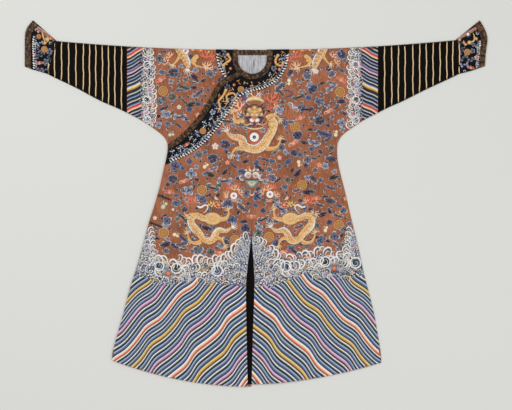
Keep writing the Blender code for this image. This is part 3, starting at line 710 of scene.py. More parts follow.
def bat(work, wing, body):
    """A bat from above, wings spread, head up."""
    for side in (-1, 1):
        work.stroke(((side * 2, 1), (side * 9, 8), (side * 19, 5), (side * 21, -3)), 2.6,
                    wing, comma, 1.0, 8)
        for x, y in ((7, -7), (13, -7), (19, -6)):
            work.stroke(((side * (x - 3), 5), (side * x, y)), 1.8, (wing, body, wing), leaf,
                        0.8, 4)
    work.dot((0, 0), 5, (body, wing), 8, 1.4)
    work.dot((0, 7.5), 2.6, (wing, body), 6)
    for side in (-1, 1):
        work.stroke(((side, 9), (side * 5, 13)), 0.9, body, leaf, 0.6, 4)


def roundel(work):
    """A gold disc of plain fretwork: rings, bars and hooks that spell nothing."""
    work.dot((0, 0), 20.5, "amber amber bronze", 20, rise=0.3)
    work.ring((0, 0), 18.5, 1.8, "tan honey tan", 22, 1.1)
    for turn in range(0, 360, 45):
        work.stroke(turned(((4, 0), (10.5, 0), (12.5, 3.2), (9, 4.8)), turn), 1.6,
                    "tan honey tan", rod, 1.1, 6)
    work.ring((0, 0), 4, 1.1, "honey", 10, 1.1)


def gourd(work, pale, shade):
    """A double gourd or a pair of fruit."""
    work.dot((-5, 2), 8, (shade, pale, pale), 9, 0.9)
    work.dot((6, -3), 6, (shade, pale, pale), 8, 0.9)
    work.stroke(((-2, 8), (3, 12), (9, 10)), 1.4, "sage", leaf, 0.8, 5)
    work.stroke(((4, 3), (9, 7), (14, 5)), 1.6, "ivory", leaf, 0.8, 5)


def flower(work, petal, edge, heart):
    """Five round petals about a small heart."""
    for turn in range(0, 360, 72):
        at = (6.5 * math.cos(math.radians(turn + 18)), 6.5 * math.sin(math.radians(turn + 18)))
        work.dot(at, 5, (edge, petal), 7, 0.85, turn + 18)
    work.dot((0, 0), 2.6, (heart, "straw"), 6)


def pearl(work, radius, pale, heart):
    """A flaming pearl's disc: a white ring round a dark heart."""
    work.dot((0, 0), radius, ("brick", pale, pale), 18, rise=0.6)
    work.ring((0, 0), radius * 0.72, radius * 0.24, (pale, "white", pale), 18, 1.3)
    work.dot((0, 0), radius * 0.5, (heart, heart, heart), 12, rise=1.35)
    work.dot((radius * 0.1, -radius * 0.05), radius * 0.2, "mist pearl", 7, rise=2.0)


def flame(work, colour, tip):
    """Branching tongues of fire."""
    for path in (((0, -14), (-1, -4), (2, 7), (0, 21)), ((0, -11), (-9, -6), (-13, 4), (-10, 13)),
                 ((0, -9), (9, -4), (14, 6), (11, 15)), ((-7, -7), (-16, -5), (-21, 4)),
                 ((7, -6), (16, -5), (22, 2)), ((0, -1), (-5, 6), (-5, 15)),
                 ((1, 1), (6, 8), (6, 16))):
        work.stroke(path, 2.5, (colour, tip, tip), comma, 0.9, 7)


def claw(work, tone, light):
    """White water curling over, dark under the curl, with a smaller curl inside."""
    if tone:
        work.patch(((-10, -18), (-12, -6), (-6, 7), (3, 9), (9, 3), (9, -6), (4, -18)),
                   (tone, tone), 0.6)
    work.stroke(((-5, -22), (-10, -9), (-7, 4), (1, 9), (9, 4), (9, -2)), 4.6,
                (light, "white", "white", "slate", "navy"), leaf, 1.5, 11)
    work.stroke(((3, -19), (-1, -8), (3, 0), (8, -3)), 2.7, (light, "cream", "steel"), leaf, 1.4,
                7)


def whirl(work, pale, tone):
    """A spiral eddy."""
    turn = np.linspace(0, 1.15 * math.tau, 30)
    radius = 14 * (1 - turn / turn[-1]) ** 0.8
    path = np.stack([radius * np.cos(turn + 2), radius * np.sin(turn + 2)], 1)
    work.dot((0, 0), 23.5, (tone, tone, "night", tone), 24, rise=1.4)
    work.ring((0, 0), 20, 3.2, (pale, "white", "white", pale), 26, 2.0)
    work.stroke(path, 3.2, (pale, "white", pale), comma, 2.6, 34)


def foam(work, tones):
    """A heap of pale and dark knots."""
    tones = tones.split()
    work.dot((0, 0), 13, "night steel", 9, 0.85, rise=0.5)
    for i, (x, y, radius) in enumerate(((0, 1, 4.6), (8, 4, 4), (-8, 4, 4.2), (4, -7, 4),
                                        (-5, -7, 3.6), (1, 9, 3.6), (11, -4, 3.2),
                                        (-12, -3, 3.2))):
        tone = tones[i % len(tones)]
        work.dot((x, y), radius, ("night" if i % 3 else "plum", tone, tone), 7, rise=1.0)
        work.stroke(arc((x, y), radius, 20 + 60 * i, 190 + 60 * i, 5), 1.2,
                    tones[(i + 1) % len(tones)], leaf, 1.3, 5)


def fan(work, rims):
    """Nested arcs of small water, from the outside in."""
    rims = rims.split()
    work.dot((0, -1), 12.8, (rims[1], rims[1], rims[-1]), 10, 0.8, rise=0.5)
    for radius, colour, half in zip((12, 8.4, 5, 2), rims, (1.9, 1.5, 1.6, 1.6)):
        work.stroke(arc((0, -4), radius, -5, 185, 8), half, colour, rod, 1.1, 8)


def breaker(work, tone):
    """A dark roller that carries a white rim and curls over at its head."""
    work.patch(((-24, -12), (-20, 4), (-8, 14), (8, 15), (20, 8), (25, -3), (19, -8), (14, 0),
                (4, 2), (-4, -4), (-8, -14)), ("night", tone), 1.2)
    for shrink, colour in ((1.0, "white"), (0.6, "pearl")):
        path = [(x * shrink - 2, y * shrink) for x, y in (
            (-25, -12), (-20, 6), (-6, 16), (10, 17), (23, 9), (26, -3), (19, -8))]
        work.stroke(path, 2.6 * shrink, colour, comma, 1.9, 14)


def plume(work, pale, tone):
    """A curved water leaf with a white tip, rooted at its foot."""
    work.stroke(((0, -24), (-2, -6), (2, 10), (11, 24)), 6.0, ("steel", pale, tone, "steel"),
                leaf, 0.9, 10)
    work.stroke(((-2, -16), (-3, -2), (1, 12), (10, 25)), 1.5, "pearl white", comma, 1.4, 8)
    work.stroke(((3, -18), (2, -4), (5, 8)), 1.3, "steel navy", leaf, 1.3, 6)


def make_motifs():
    """Every small motif as an object of one hidden collection; returns their numbers."""
    kinds = {}
    for i, shape in enumerate(CLOUDS):
        for j, colours in enumerate(CLOUD_FLOSS):
            kinds[f"cloud {i}{j}"] = (cloud, shape, colours)
    kinds.update({
        "bat coral": (bat, "coral", "blush"),
        "bat pale": (bat, "blush", "coral"),
        "bat grey": (bat, "pearl", "slate"),
        "roundel": (roundel,),
        "gourd": (gourd, "cream", "wheat"),
        "gourd pale": (gourd, "ivory", "sage"),
        "flower pink": (flower, "blush", "coral", "brick"),
        "flower cream": (flower, "cream", "pearl", "gold"),
        "flower red": (flower, "coral", "blush", "wheat"),
        "pearl large": (pearl, 20, "white", "steel"),
        "pearl small": (pearl, 15, "white", "mauve"),
        "flame pale": (flame, "coral", "peach"),
        "claw": (claw, "", "mist"),
        "claw warm": (claw, "", "blush"),
        "claws dark": (claw, "night", "blush"),
        "claws blue": (claw, "steel", "ice"),
        "claws moss": (claw, "pine", "pearl"),
        "whirl blue": (whirl, "ice", "denim"),
        "whirl grey": (whirl, "pearl", "pine"),
        "whirl pale": (whirl, "pearl", "teal"),
        "straw rod": (straw_rod,),
        "fan grey": (fan, "white slate pearl steel"),
        "fan dark": (fan, "pearl navy slate pearl"),
        "fan cream": (fan, "cream mist cream plum"),
        "fan lilac": (fan, "pearl lilac mist slate"),
        "fan rose": (fan, "cream wine blush plum"),
        "fan pink": (fan, "white mauve blush brick"),
        "breaker": (breaker, "teal"),
        "breaker blue": (breaker, "blue"),
        "plume": (plume, "aqua", "slate"),
        "plume pale": (plume, "ice", "slate"),
        "foam": (foam, "white moss pearl steel"),
        "foam warm": (foam, "cream mist white plum"),
        "foam cold": (foam, "ice slate white denim lilac"),
        "gourd gold": (gourd, "gold", "bronze"),
        "curl": (curl, "pearl", "steel"),
        "curl grey": (curl, "mist", "pine"),
        "hook": (hook,),
        "bud": (bud,),
        "stitch": (stitch,),
        "scroll": (scroll, "apricot", "wheat"),
        "scroll dark": (scroll, "rust", "honey"),
        "seeds": (seeds,),
    })
    shelf = bpy.data.collections.new("motifs")
    for number, (name, (builder, *details)) in enumerate(kinds.items()):
        for side, word in ((1, "a"), (-1, "b")):
            work = Needlework()
            builder(work, *details)
            if side < 0:
                work.points = [(-x, y, z) for x, y, z in work.points]
                work.faces = [face[::-1] for face in work.faces]
            label = f"{2 * number + (side < 0):03d} {name} {word}"
            obj = bpy.data.objects.new(label, work.mesh(label))
            shelf.objects.link(obj)
    return shelf, {name: 2 * number for number, name in enumerate(kinds)}


def hook(work):
    """A dark bent stroke, like a folded ribbon."""
    work.stroke(((-14, 12), (2, 10), (14, 2), (10, -6), (-8, -12)), 2.2, "navy blue navy",
                rod, 0.8, 12)


def curl(work, pale, tone):
    """A single small cloud."""
    work.dot((0, 0), 7, (tone, tone), 8, rise=0.5)
    work.stroke(arc((0, 0), 6.5, -60, 220, 9), 1.6, pale, leaf, 0.9, 9)
    work.stroke(((5, -3), (13, -6), (20, -3)), 2.2, (tone, "blue", tone), comma, 0.7, 6)


def scroll(work, tone, light):
    """A small gold scroll with two tendrils."""
    for path in (((-10, -3), (-5, 5), (1, 1), (5, -5), (11, 1)), ((-4, 4), (-2, 9), (4, 10)),
                 ((4, -4), (8, -9), (2, -11))):
        work.stroke(path, 2.0, (tone, light, tone), comma, 1.2, 8)


def seeds(work):
    """A few pale knots on a dark leaf."""
    for x, y, radius, colour in ((0, 0, 4.2, "pearl"), (7, 4, 3.2, "ice"), (-6, 5, 3.4, "slate"),
                                 (-4, -7, 3.6, "white"), (5, -6, 3.0, "teal")):
        work.dot((x, y), radius, ("steel", colour, colour), 7, rise=0.9)


def stitch(work):
    """One running stitch."""
    work.stroke(((-2.6, 0), (2.6, 0)), 0.5, "bronze", leaf, 0.35, 4)


def straw_rod(work):
    """A short dull-gold bar."""
    work.stroke(((-14, 0), (14, 0)), 5, "umber gold bronze", rod, 1.4, 6)


def bud(work):
    """A small round fruit."""
    work.dot((0, 0), 5.5, "bronze coral gold", 9, rise=1.2)


# ---------------------------------------------------------------- laying needlework on cloth


def new_tree(name, sockets):
    """A Geometry Nodes group, its inputs, and a helper that adds its own kind of node."""
    tree = bpy.data.node_groups.new(name, "GeometryNodeTree")
    for label, kind in (("Geometry", "Geometry"), *sockets):
        tree.interface.new_socket(label, in_out="INPUT", socket_type="NodeSocket" + kind)
    tree.interface.new_socket("Geometry", in_out="OUTPUT", socket_type="NodeSocketGeometry")

    def geo(kind, inputs=(), **settings):
        return add_node(tree, "GeometryNode" + kind, inputs, **settings).outputs

    return tree, add_node(tree, "NodeGroupInput").outputs, geo


def close_tree(tree, geo, geometry, finish):
    """Makes the instances real, gives the result its material and hands it out."""
    real = geo("RealizeInstances", {"Geometry": geometry})[0]
    done = geo("SetMaterial", {"Geometry": real, "Material": finish})[0]
    add_node(tree, "NodeGroupOutput", {0: done})
    return tree


def upright(tree, value):
    """A vector along Z."""
    return add_node(tree, "ShaderNodeCombineXYZ", {"Z": value}).outputs[0]


RAY_FROM, RAY_LENGTH = 0.1, 0.2  # metres: needlework is dropped from over the cloth


def laying_tree():
    """Drops needlework onto the cloth under it, and cuts away what lies off the cloth."""
    tree, given, geo = new_tree("Laid on cloth", (
        ("Motifs", "Collection"), ("Cloth", "Object"), ("Lift", "Float"),
        ("Finish", "Material")))
    shelf = geo("CollectionInfo", {
        "Collection": given["Motifs"], "Separate Children": True, "Reset Children": True})
    kind, turn, size = (geo("InputNamedAttribute", {"Name": name}, data_type=form)
                        for name, form in (("kind", "INT"), ("turn", "FLOAT"),
                                           ("size", "FLOAT")))
    dots = geo("SeparateGeometry", {
        "Geometry": given["Geometry"], "Selection": kind["Exists"]}, domain="POINT")
    placed = geo("InstanceOnPoints", {
        "Points": dots["Selection"], "Instance": shelf[0], "Pick Instance": True,
        "Instance Index": kind["Attribute"], "Rotation": upright(tree, turn["Attribute"]),
        "Scale": size["Attribute"]})
    real = geo("RealizeInstances", {"Geometry": placed[0]})
    both = add_node(tree, "GeometryNodeJoinGeometry", {"Geometry": real[0]})
    tree.links.new(dots["Inverted"], both.inputs["Geometry"])
    where = add_node(tree, "ShaderNodeSeparateXYZ", {0: geo("InputPosition")[0]}).outputs
    above = add_node(tree, "ShaderNodeCombineXYZ", {
        "X": where["X"], "Y": where["Y"], "Z": RAY_FROM}).outputs[0]
    cloth = geo("ObjectInfo", {"Object": given["Cloth"]})["Geometry"]
    fall = geo("Raycast", {
        "Target Geometry": cloth, "Source Position": above, "Ray Direction": (0, 0, -1),
        "Ray Length": RAY_LENGTH})
    met = add_node(tree, "ShaderNodeSeparateXYZ", {0: fall["Hit Position"]}).outputs["Z"]
    missed = add_node(tree, "FunctionNodeBooleanMath", {0: fall["Is Hit"]},
                      operation="NOT").outputs[0]
    kept = geo("DeleteGeometry", {"Geometry": both.outputs[0], "Selection": missed},
               domain="POINT")
    laid = geo("SetPosition", {
        "Geometry": kept[0],
        "Offset": upright(tree, maths(tree, "ADD", met, given["Lift"]))})
    return close_tree(tree, geo, laid[0], given["Finish"])


def run_nodes(obj, tree, values):
    """Runs a Geometry Nodes group on an object with some inputs, by their names."""
    modifier = obj.modifiers.new(tree.name, "NODES")
    modifier.node_group = tree
    for name, value in values.items():
        modifier[tree.interface.items_tree[name].identifier] = value
    settled(obj)


def lay(name, work, cloth, finish=SATIN_STITCH):
    """Lays needlework, or a list of placed motifs, on a cloth as a plain mesh."""
    mesh = work.mesh(name) if isinstance(work, Needlework) else scatter_points(name, work)
    obj = bpy.data.objects.new(name, mesh)
    bpy.context.scene.collection.objects.link(obj)
    run_nodes(obj, kit["laying"], {
        "Motifs": kit["shelf"], "Cloth": cloth, "Lift": bpy.context.scene.robe_sizes.lift,
        "Finish": kit["finish"][finish]})
    if not obj.data.polygons:
        raise RuntimeError(f"{name} has no stitches on its cloth")
    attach(obj, "root")
    return obj


def scatter_points(name, rows):
    """A mesh of loose points that carry a motif's number, turn in degrees and size."""
    mesh = bpy.data.meshes.new(name)
    mesh.from_pydata([(x * MM, y * MM, 0) for _, x, y, _, _ in rows], [], [])
    for label, form, values in (("kind", "INT", [row[0] for row in rows]),
                                ("turn", "FLOAT", [math.radians(row[3]) for row in rows]),
                                ("size", "FLOAT", [row[4] for row in rows])):
        mesh.attributes.new(label, form, "POINT").data.foreach_set("value", values)
    return mesh


def numbered(table):
    """Rows of x, y, motif, turn and size, with the motif's number put first."""
    return [(kit["kinds"][word], x, y, turn, size) for x, y, word, turn, size in table]


def pick(rng, words):
    """The number of one of some motifs, facing either way."""
    return kit["kinds"][rng.choice(words)] + rng.choice((0, 1))


def mirrored(rows, side):
    """Placed motifs given out from the centre seam, put on one side of it."""
    return [(kind if side > 0 else kind ^ 1, CENTRE_X + side * x, y, side * turn, size)
            for kind, x, y, turn, size in rows]


kit = {}


BRIDGE = (-150, 530, 86)  # foot, top and steps of the strip over the centre seam
BRIDGE_HALF, BRIDGE_UP = 2, 6.3  # its half width, and its height over the floor


def joined(nodes):
    """An editable mesh of several cloths."""
    bm = bmesh.new()
    for node in nodes:
        bm.from_mesh(kit[node].data)
    return bm


def as_object(name, bm):
    """An object, in no collection, with an editable mesh's shape; frees the mesh."""
    mesh = bpy.data.meshes.new(name)
    bm.to_mesh(mesh)
    bm.free()
    return bpy.data.objects.new(name, mesh)


def whole_front():
    """All the front cloths as one surface, bridged over the centre seam, to lay work on."""
    bm = joined(("under_front", "overlap", "front_left", "collar_band"))
    ups = np.linspace(*BRIDGE)
    pairs = [[bm.verts.new(((CENTRE_X + out) * MM, y * MM, z * MM))
              for out in (-BRIDGE_HALF, BRIDGE_HALF)]
             for y, z in zip(ups, BRIDGE_UP + ripple(CENTRE_X, ups))]
    for low, high in zip(pairs, pairs[1:]):
        bm.faces.new((*low, *high[::-1]))
    return as_object("whole front", bm)


# ---------------------------------------------------------------- standing-water stripes

STRIPE_HALF_TURN = math.sqrt(0.5)

# Colours across each kind of stripe, from its upper edge down, with their widths
STRIPES = {
    "straw": (("straw", 4.5), ("gold", 4), ("bronze", 2.5), ("night", 2)),
    "rose": (("rose", 4.5), ("mauve", 4), ("wine", 2.5), ("night", 2)),
    "coral": (("white", 4.5), ("peach", 3), ("coral", 4), ("brick", 1.5), ("night", 1.5)),
    "sage": (("white", 3), ("sage", 1.8), ("pine", 3.6), ("night", 2.6)),
    "ice": (("ice", 2.6), ("sky", 2), ("denim", 4.2), ("night", 3)),
}
BETWEEN = ("sage", "ice", "sage", "ice")

# Distance of each coloured stripe from the centre seam's foot, across the stripes
HEM_SPECIALS = (
    ("coral", -160), ("straw", -81), ("rose", -20), ("coral", 53), ("straw", 120),
    ("rose", 192), ("coral", 265), ("straw", 343), ("rose", 421), ("coral", 492),
    ("straw", 566),
)


def stripe_bands(specials, palette):
    """The stripes in order, each a list of its bands: start, end and colour."""
    made = []
    for (name, at), (_, upto) in zip(specials, specials[1:]):
        parts = [name] + list(BETWEEN)
        scale = (upto - at) / sum(width for part in parts for _, width in palette[part])
        for part in parts:
            bands = []
            for colour, width in palette[part]:
                bands.append((at, at + width * scale, colour))
                at += width * scale
            made.append(bands)
    return made


def water_line(frame_of, across, along, swell):
    """Points of a line that follows the stripes."""
    phase = along / swell["length"] + across / swell["drift"]
    sway = swell["height"] * np.sin(math.tau * phase + swell["start"])
    sway += swell["height"] * 0.18 * np.sin(math.tau * phase * 1.9 + across * 0.013)
    return frame_of(across + sway, along)


STRIPE_RISE = 0.9


def stripes(work, specials, palette, frame_of, region, reach, swell):
    """Wavy stripes over a region, each cut where it leaves it."""
    along = np.arange(reach[0], reach[1], 1.0)
    for bands in stripe_bands(specials, palette):
        lay_stripe(work, bands, frame_of, region, along, swell)


def lay_stripe(work, bands, frame_of, region, along, swell):
    """One stripe as a ridge whose colour changes across it."""
    low, high = bands[0][0], bands[-1][1]
    edges, tones = [], []
    for start, end, tone in bands:
        soft = min(0.25 * (end - start), 1.0) if end - start > 2.6 else (end - start) / 2
        edges += [start + soft] if start + soft >= end - soft else [start + soft, end - soft]
        tones += [tone] * (len(edges) - len(tones))
    edges[0], edges[-1] = low, high
    lines = []
    for across in edges:
        line = water_line(frame_of, across, along, swell)
        held = np.flatnonzero(region(line))
        if len(held) < 3:
            lines.append(None)
            continue
        runs = np.split(held, np.flatnonzero(np.diff(held) > 1) + 1)
        run = max(runs, key=len)
        lines.append((along[run[0]], along[run[-1]]))
    known = [span for span in lines if span]
    if len(known) < 2:
        return
    spans = [span or known[0 if i < len(lines) / 2 else -1] for i, span in enumerate(lines)]
    if not all(lines):
        spans = [span for span, line in zip(spans, lines) if line]
        edges = [edge for edge, line in zip(edges, lines) if line]
        tones = [tone for tone, line in zip(tones, lines) if line]
    count = max(3, int(np.mean([b - a for a, b in spans]) / 8))
    grid = [water_line(frame_of, across, np.linspace(a, b, count), swell)
            for across, (a, b) in zip(edges, spans)]
    middle, reach = (low + high) / 2, (high - low) / 2
    heights = [STRIPE_RISE * max(0.0, 1 - ((edge - middle) / reach) ** 2) for edge in edges]
    work.loft(grid, heights, tones)


# ---------------------------------------------------------------- the hem: waves and stripes

# Distance from the centre seam, height: top edge of the waves, from the vent to the side
WAVE_TOP = {
    RIGHT: ((0, -124), (18, -134), (35, -143), (72, -189), (89, -218), (126, -226),
            (168, -239), (230, -234), (280, -243), (301, -226), (330, -247), (388, -226),
            (396, -189), (408, -156), (421, -122), (432, -92), (520, -85)),
    LEFT: ((0, -124), (18, -136), (60, -174), (79, -189), (94, -205), (121, -222),
           (167, -221), (213, -222), (245, -212), (292, -197), (326, -205), (365, -209),
           (384, -197), (391, -164), (398, -140), (402, -116), (412, -92), (520, -85)),
}
# The same for their foot, where they give way to the stripes
WAVE_FOOT = {
    RIGHT: ((0, -350), (40, -348), (80, -340), (130, -332), (180, -330), (215, -312),
            (235, -308), (262, -325), (310, -330), (350, -338), (385, -331), (420, -312),
            (470, -300), (620, -290)),
    LEFT: ((0, -345), (40, -340), (80, -336), (120, -322), (165, -318), (200, -300),
           (232, -286), (262, -308), (300, -316), (330, -296), (352, -292), (385, -308),
           (415, -304), (440, -290), (620, -284)),
}


def wave_edge(rows, side, out):
    """Height of the waves' upper or lower edge at a distance from the centre seam."""
    known = np.array(rows[side], float)
    return np.interp(out, known[:, 0], known[:, 1])


def hem_frame(side):
    """Maps places across and along the stripes of one half to the robe."""
    def frame_of(across, along):
        out = -(across + along) * STRIPE_HALF_TURN
        up = (along - across) * STRIPE_HALF_TURN
        return np.stack([CENTRE_X + side * out, up], 1)
    return frame_of


HEM_SWELL = {"height": 5.8, "length": 190.0, "drift": 420.0, "start": 1.2}


def make_hem_stripes(side, node, name):
    """The slanting stripes of one half of the hem."""
    outline = outline_of(node)

    def region(points):
        out = side * (points[:, 0] - CENTRE_X)
        return inside(outline, points) & (points[:, 1] < wave_edge(WAVE_FOOT, side, out) + 4)

    work = Needlework()
    stripes(work, HEM_SPECIALS, STRIPES, hem_frame(side), region, (-900, 0), HEM_SWELL)
    return lay(name, work, kit[node])


# ---------------------------------------------------------------- the sleeves' own stripes

SLEEVE_TURN = math.radians(28)
SLEEVE_MIDDLE = 485.0  # distance from the centre seam to the middle of the sleeve's stripes
SLEEVE_STRIPES = {
    "straw": (("cream", 2.5), ("straw", 3), ("gold", 4), ("bronze", 3)),
    "rose": (("wine", 4), ("mauve", 4), ("rose", 3.5)),
    "coral": (("red", 6), ("coral", 3), ("peach", 3.5), ("cream", 1.5)),
    "sage": (("night", 5.5), ("pine", 2.5), ("mist", 1.5), ("pearl", 2.5)),
    "ice": (("night", 5), ("navy", 3), ("sky", 2.5), ("ice", 1.5)),
}
SLEEVE_SPECIALS = (
    ("straw", -634), ("coral", -560), ("rose", -496), ("straw", -434), ("coral", -360),
    ("rose", -292), ("straw", -222),
)
SLEEVE_SWELL = {"height": 1.8, "length": 90.0, "drift": 300.0, "start": 0.4}
SLEEVE_WAVES = (408.0, 456.0)  # the sleeve's waves lie this far from the centre seam
SLEEVE_FROM = 285.0  # height over which a front counts as its sleeve


def sleeve_frame(side):
    """Maps places across and along the sleeve's stripes to the robe."""
    cos, sin = math.cos(SLEEVE_TURN), math.sin(SLEEVE_TURN)

    def frame_of(across, along):
        out = SLEEVE_MIDDLE - along * cos - across * sin
        up = along * sin - across * cos
        return np.stack([CENTRE_X + side * out, up], 1)
    return frame_of


def make_sleeve_stripes(side, node, name):
    """The stripes at the end of one of the robe's own sleeves."""
    outline = outline_of(node)

    def region(points):
        out = side * (points[:, 0] - CENTRE_X)
        edge = SLEEVE_WAVES[1] + 5 * np.sin(points[:, 1] / 13)
        return inside(outline, points) & (out > edge) & (points[:, 1] > SLEEVE_FROM)

    work = Needlework()
    stripes(work, SLEEVE_SPECIALS, SLEEVE_STRIPES, sleeve_frame(side), region, (-60, 480),
            SLEEVE_SWELL)
    return lay(name, work, kit[node])


# ---------------------------------------------------------------- waves

# x, y, motif, turn in degrees, size: the larger things afloat in the hem's waves
AFLOAT = (
    (-331, -269, "whirl grey", 0, 1.0), (-162, -278, "whirl blue", 40, 1.08),
    (286, -241, "whirl grey", 120, 1.0), (123, -260, "whirl blue", 200, 1.08),
    (412, -246, "whirl pale", 40, 1.1), (-402, -260, "whirl pale", 90, 0.9),
    (-230, -272, "gourd gold", 20, 1.3), (206, -263, "gourd gold", 0, 1.2),
    (-365, -289, "bud", 0, 2.3), (323, -268, "bud", 0, 2.3),
    (-198, -262, "straw rod", 40, 1.0), (-436, -268, "breaker", 20, 1.0),
    (-104, -268, "breaker", -10, 0.9), (355, -228, "breaker", -20, 1.05),
    (70, -262, "breaker blue", 10, 0.9), (-268, -262, "breaker blue", -20, 0.8),
    (-432, -190, "fan pink", 0, 0.8), (398, -190, "fan pink", 0, 0.8),
    (-360, -236, "flame pale", 0, 0.6), (226, -228, "flower pink", 0, 0.8),
    (150, -214, "flower pink", 0, 0.8), (-236, -244, "flower red", 0, 0.8),
    (-78, -202, "fan pink", 60, 0.5), (38, -202, "fan pink", -60, 0.5),
    (-136, -296, "fan rose", 0, 0.8), (106, -292, "fan rose", 0, 0.8),
)
CLAWS = ("claws dark", "claws dark", "claws blue", "claws moss")
EDGE_CLAWS = ("claw", "claw", "claw warm")
FANS = ("fan grey", "fan dark", "fan cream", "foam cold", "foam", "foam warm", "foam",
        "fan lilac", "fan rose", "foam cold", "foam warm")
SPRAY = ("fan lilac", "foam cold", "fan grey", "foam warm")
FOAMS = ("foam cold", "foam", "foam warm", "fan lilac", "fan rose", "foam warm", "fan pink")


def kept_rows(rows, outline, edge):
    """The rows whose place lies in an outline, at least edge from its line."""
    points = np.array([(row[1], row[2]) for row in rows])
    held = inside(outline, points) & (distance_to(outline, points) > edge)
    return [row for row, keep in zip(rows, held) if keep]


def clipped(outline, line, count):
    """The stretch of a line that lies in an outline, as evenly spaced points."""
    fine = smooth(line, 900)
    held = np.flatnonzero(inside(outline, fine))
    if len(held) < 2:
        return None
    return smooth(fine[held[0]:held[-1] + 1], count)


def lay_waves(lines, tones, rows, name, node):
    """Lays the plain ground of some waves, lofted through lines, and the waves over it."""
    ground = Needlework()
    ground.loft(lines, [GROUND_RISE] * len(lines), tones)
    lay(name + "_ground", ground, kit[node])
    lay(name, rows, kit[node])


GROUND_RISE = 0.15  # of the ground under the waves
HEM_REACH = 640.0  # the hem's waves are laid out this far from the centre seam
FAN_ROW, FAN_STEP = 15.5, 21.0  # between rows of fans, and between the fans of a row
CLAWS_REACH = 392  # the claws of the top edge end here, and those up the side begin
PLUMES_FOOT, PLUMES_TOP = -232, -138.0  # heights of the plumes beside the vent
SIDE_EDGE = ((-250, -190, -130, -90), (402, 400, 404, 414))  # height, distance out
GROUND_FALL = 14  # the waves' ground starts this far under their top edge


def fan_rows(rng, side):
    """Fans and foam that fill the hem's waves down to their foot."""
    rows = []
    for row, depth in enumerate(np.arange(18, 270, FAN_ROW)):
        for out in np.arange(0, HEM_REACH, FAN_STEP) + FAN_STEP / 2 * (row % 2):
            up = wave_edge(WAVE_TOP, side, out) - depth
            if up > wave_edge(WAVE_FOOT, side, out) - 4:
                rows.append((pick(rng, FANS), out + rng.uniform(-4, 4),
                             up + rng.uniform(-4, 4), rng.uniform(-50, 50),
                             rng.uniform(0.8, 1.3)))
    return rows


def claw_rows(rng, side):
    """Breaking claws along the hem's waves, with two sparser lines of darker ones below."""
    def top(out):
        return wave_edge(WAVE_TOP, side, out)

    rows, out = [], 24.0
    while out < CLAWS_REACH:
        rise = top(out)
        slope = math.degrees(math.atan2(top(out + 8) - top(out - 8), 16))
        face = 1 if out < 240 else 0
        rows.append((kit["kinds"][rng.choice(EDGE_CLAWS)] + face, out,
                     rise + rng.uniform(-4, 12), slope * 0.4 + rng.uniform(-42, 42),
                     rng.uniform(0.8, 1.5)))
        if out > 90:
            rows.append((pick(rng, CLAWS), out + 12, rise - 30 + rng.uniform(-6, 6),
                         rng.uniform(-50, 50), rng.uniform(1.1, 1.4)))
            if out % 60 < 40:
                rows.append((pick(rng, CLAWS), out + 4, rise - 58 + rng.uniform(-8, 8),
                             rng.uniform(-60, 60), rng.uniform(0.9, 1.25)))
        out += rng.uniform(17, 30) if out > 100 else 15
    return rows


def plume_rows():
    """Water leaves that fan out beside the vent."""
    rows = []
    for up in range(PLUMES_FOOT, -128, 13):
        reach = max(0.0, PLUMES_TOP - up) * 0.56
        for step in range(int(reach // 13) + 1):
            word = "plume pale" if (step + up) % 3 == 0 else "plume"
            rows.append((kit["kinds"][word], 9 + step * 12 + 5 * (up % 2), up + step * 2,
                         4 - step * 7, 0.95))
    return rows


def spray_rows(rng, side):
    """Claws and foam that climb the side seam."""
    rows = []
    for up in range(-250, -96, 18):
        edge = float(np.interp(up, *SIDE_EDGE)) + (12 if side == RIGHT else 0)
        rows.append((kit["kinds"]["claw"] + 1, edge - 6, up, 25 + rng.uniform(-12, 12), 0.9))
        for far in (18, 38):
            rows.append((pick(rng, SPRAY), edge + far, up + 4, 20 + rng.uniform(-20, 20), 0.9))
    return rows


def make_hem_waves(side, node, name):
    """The breaking waves over the stripes of one half of the hem."""
    rng = random.Random(SEED + side)
    outline = outline_of(node)
    rows = fan_rows(rng, side) + claw_rows(rng, side) + plume_rows() + spray_rows(rng, side)
    rows = clear_of_afloat(kept_rows(mirrored(rows, side), outline, 4))
    rows += numbered(row for row in AFLOAT if (row[0] - CENTRE_X) * side > 0)
    outs = np.arange(0, HEM_REACH, 5.0)
    high, low = (np.stack([CENTRE_X + side * outs, ups], 1) for ups in (
        wave_edge(WAVE_TOP, side, outs - 8) - GROUND_FALL, wave_edge(WAVE_FOOT, side, outs)))
    lines = [clipped(outline, high + (low - high) * share, 120) for share in np.linspace(0, 1, 7)]
    lay_waves(lines, "mist slate mist slate mist steel slate", rows, name, node)


def clear_of_afloat(rows):
    """The rows that keep off the whirls and blossoms in the waves."""
    kept = []
    for row in rows:
        if all(math.hypot(row[1] - x, row[2] - y) > (20 if word[0] in "wm" else 12) * size
               for x, y, word, _, size in AFLOAT):
            kept.append(row)
    return kept


SLEEVE_UPS = (SLEEVE_FROM, 680)  # heights that the sleeve's waves cover

# Height and name of what floats in the middle of the sleeve's waves
SLEEVE_AFLOAT = (
    (618, "flower pink"), (575, "whirl blue"), (540, "bud"), (508, "flower pink"),
    (462, "gourd gold"), (430, "whirl grey"), (398, "flower red"), (346, "whirl blue"))


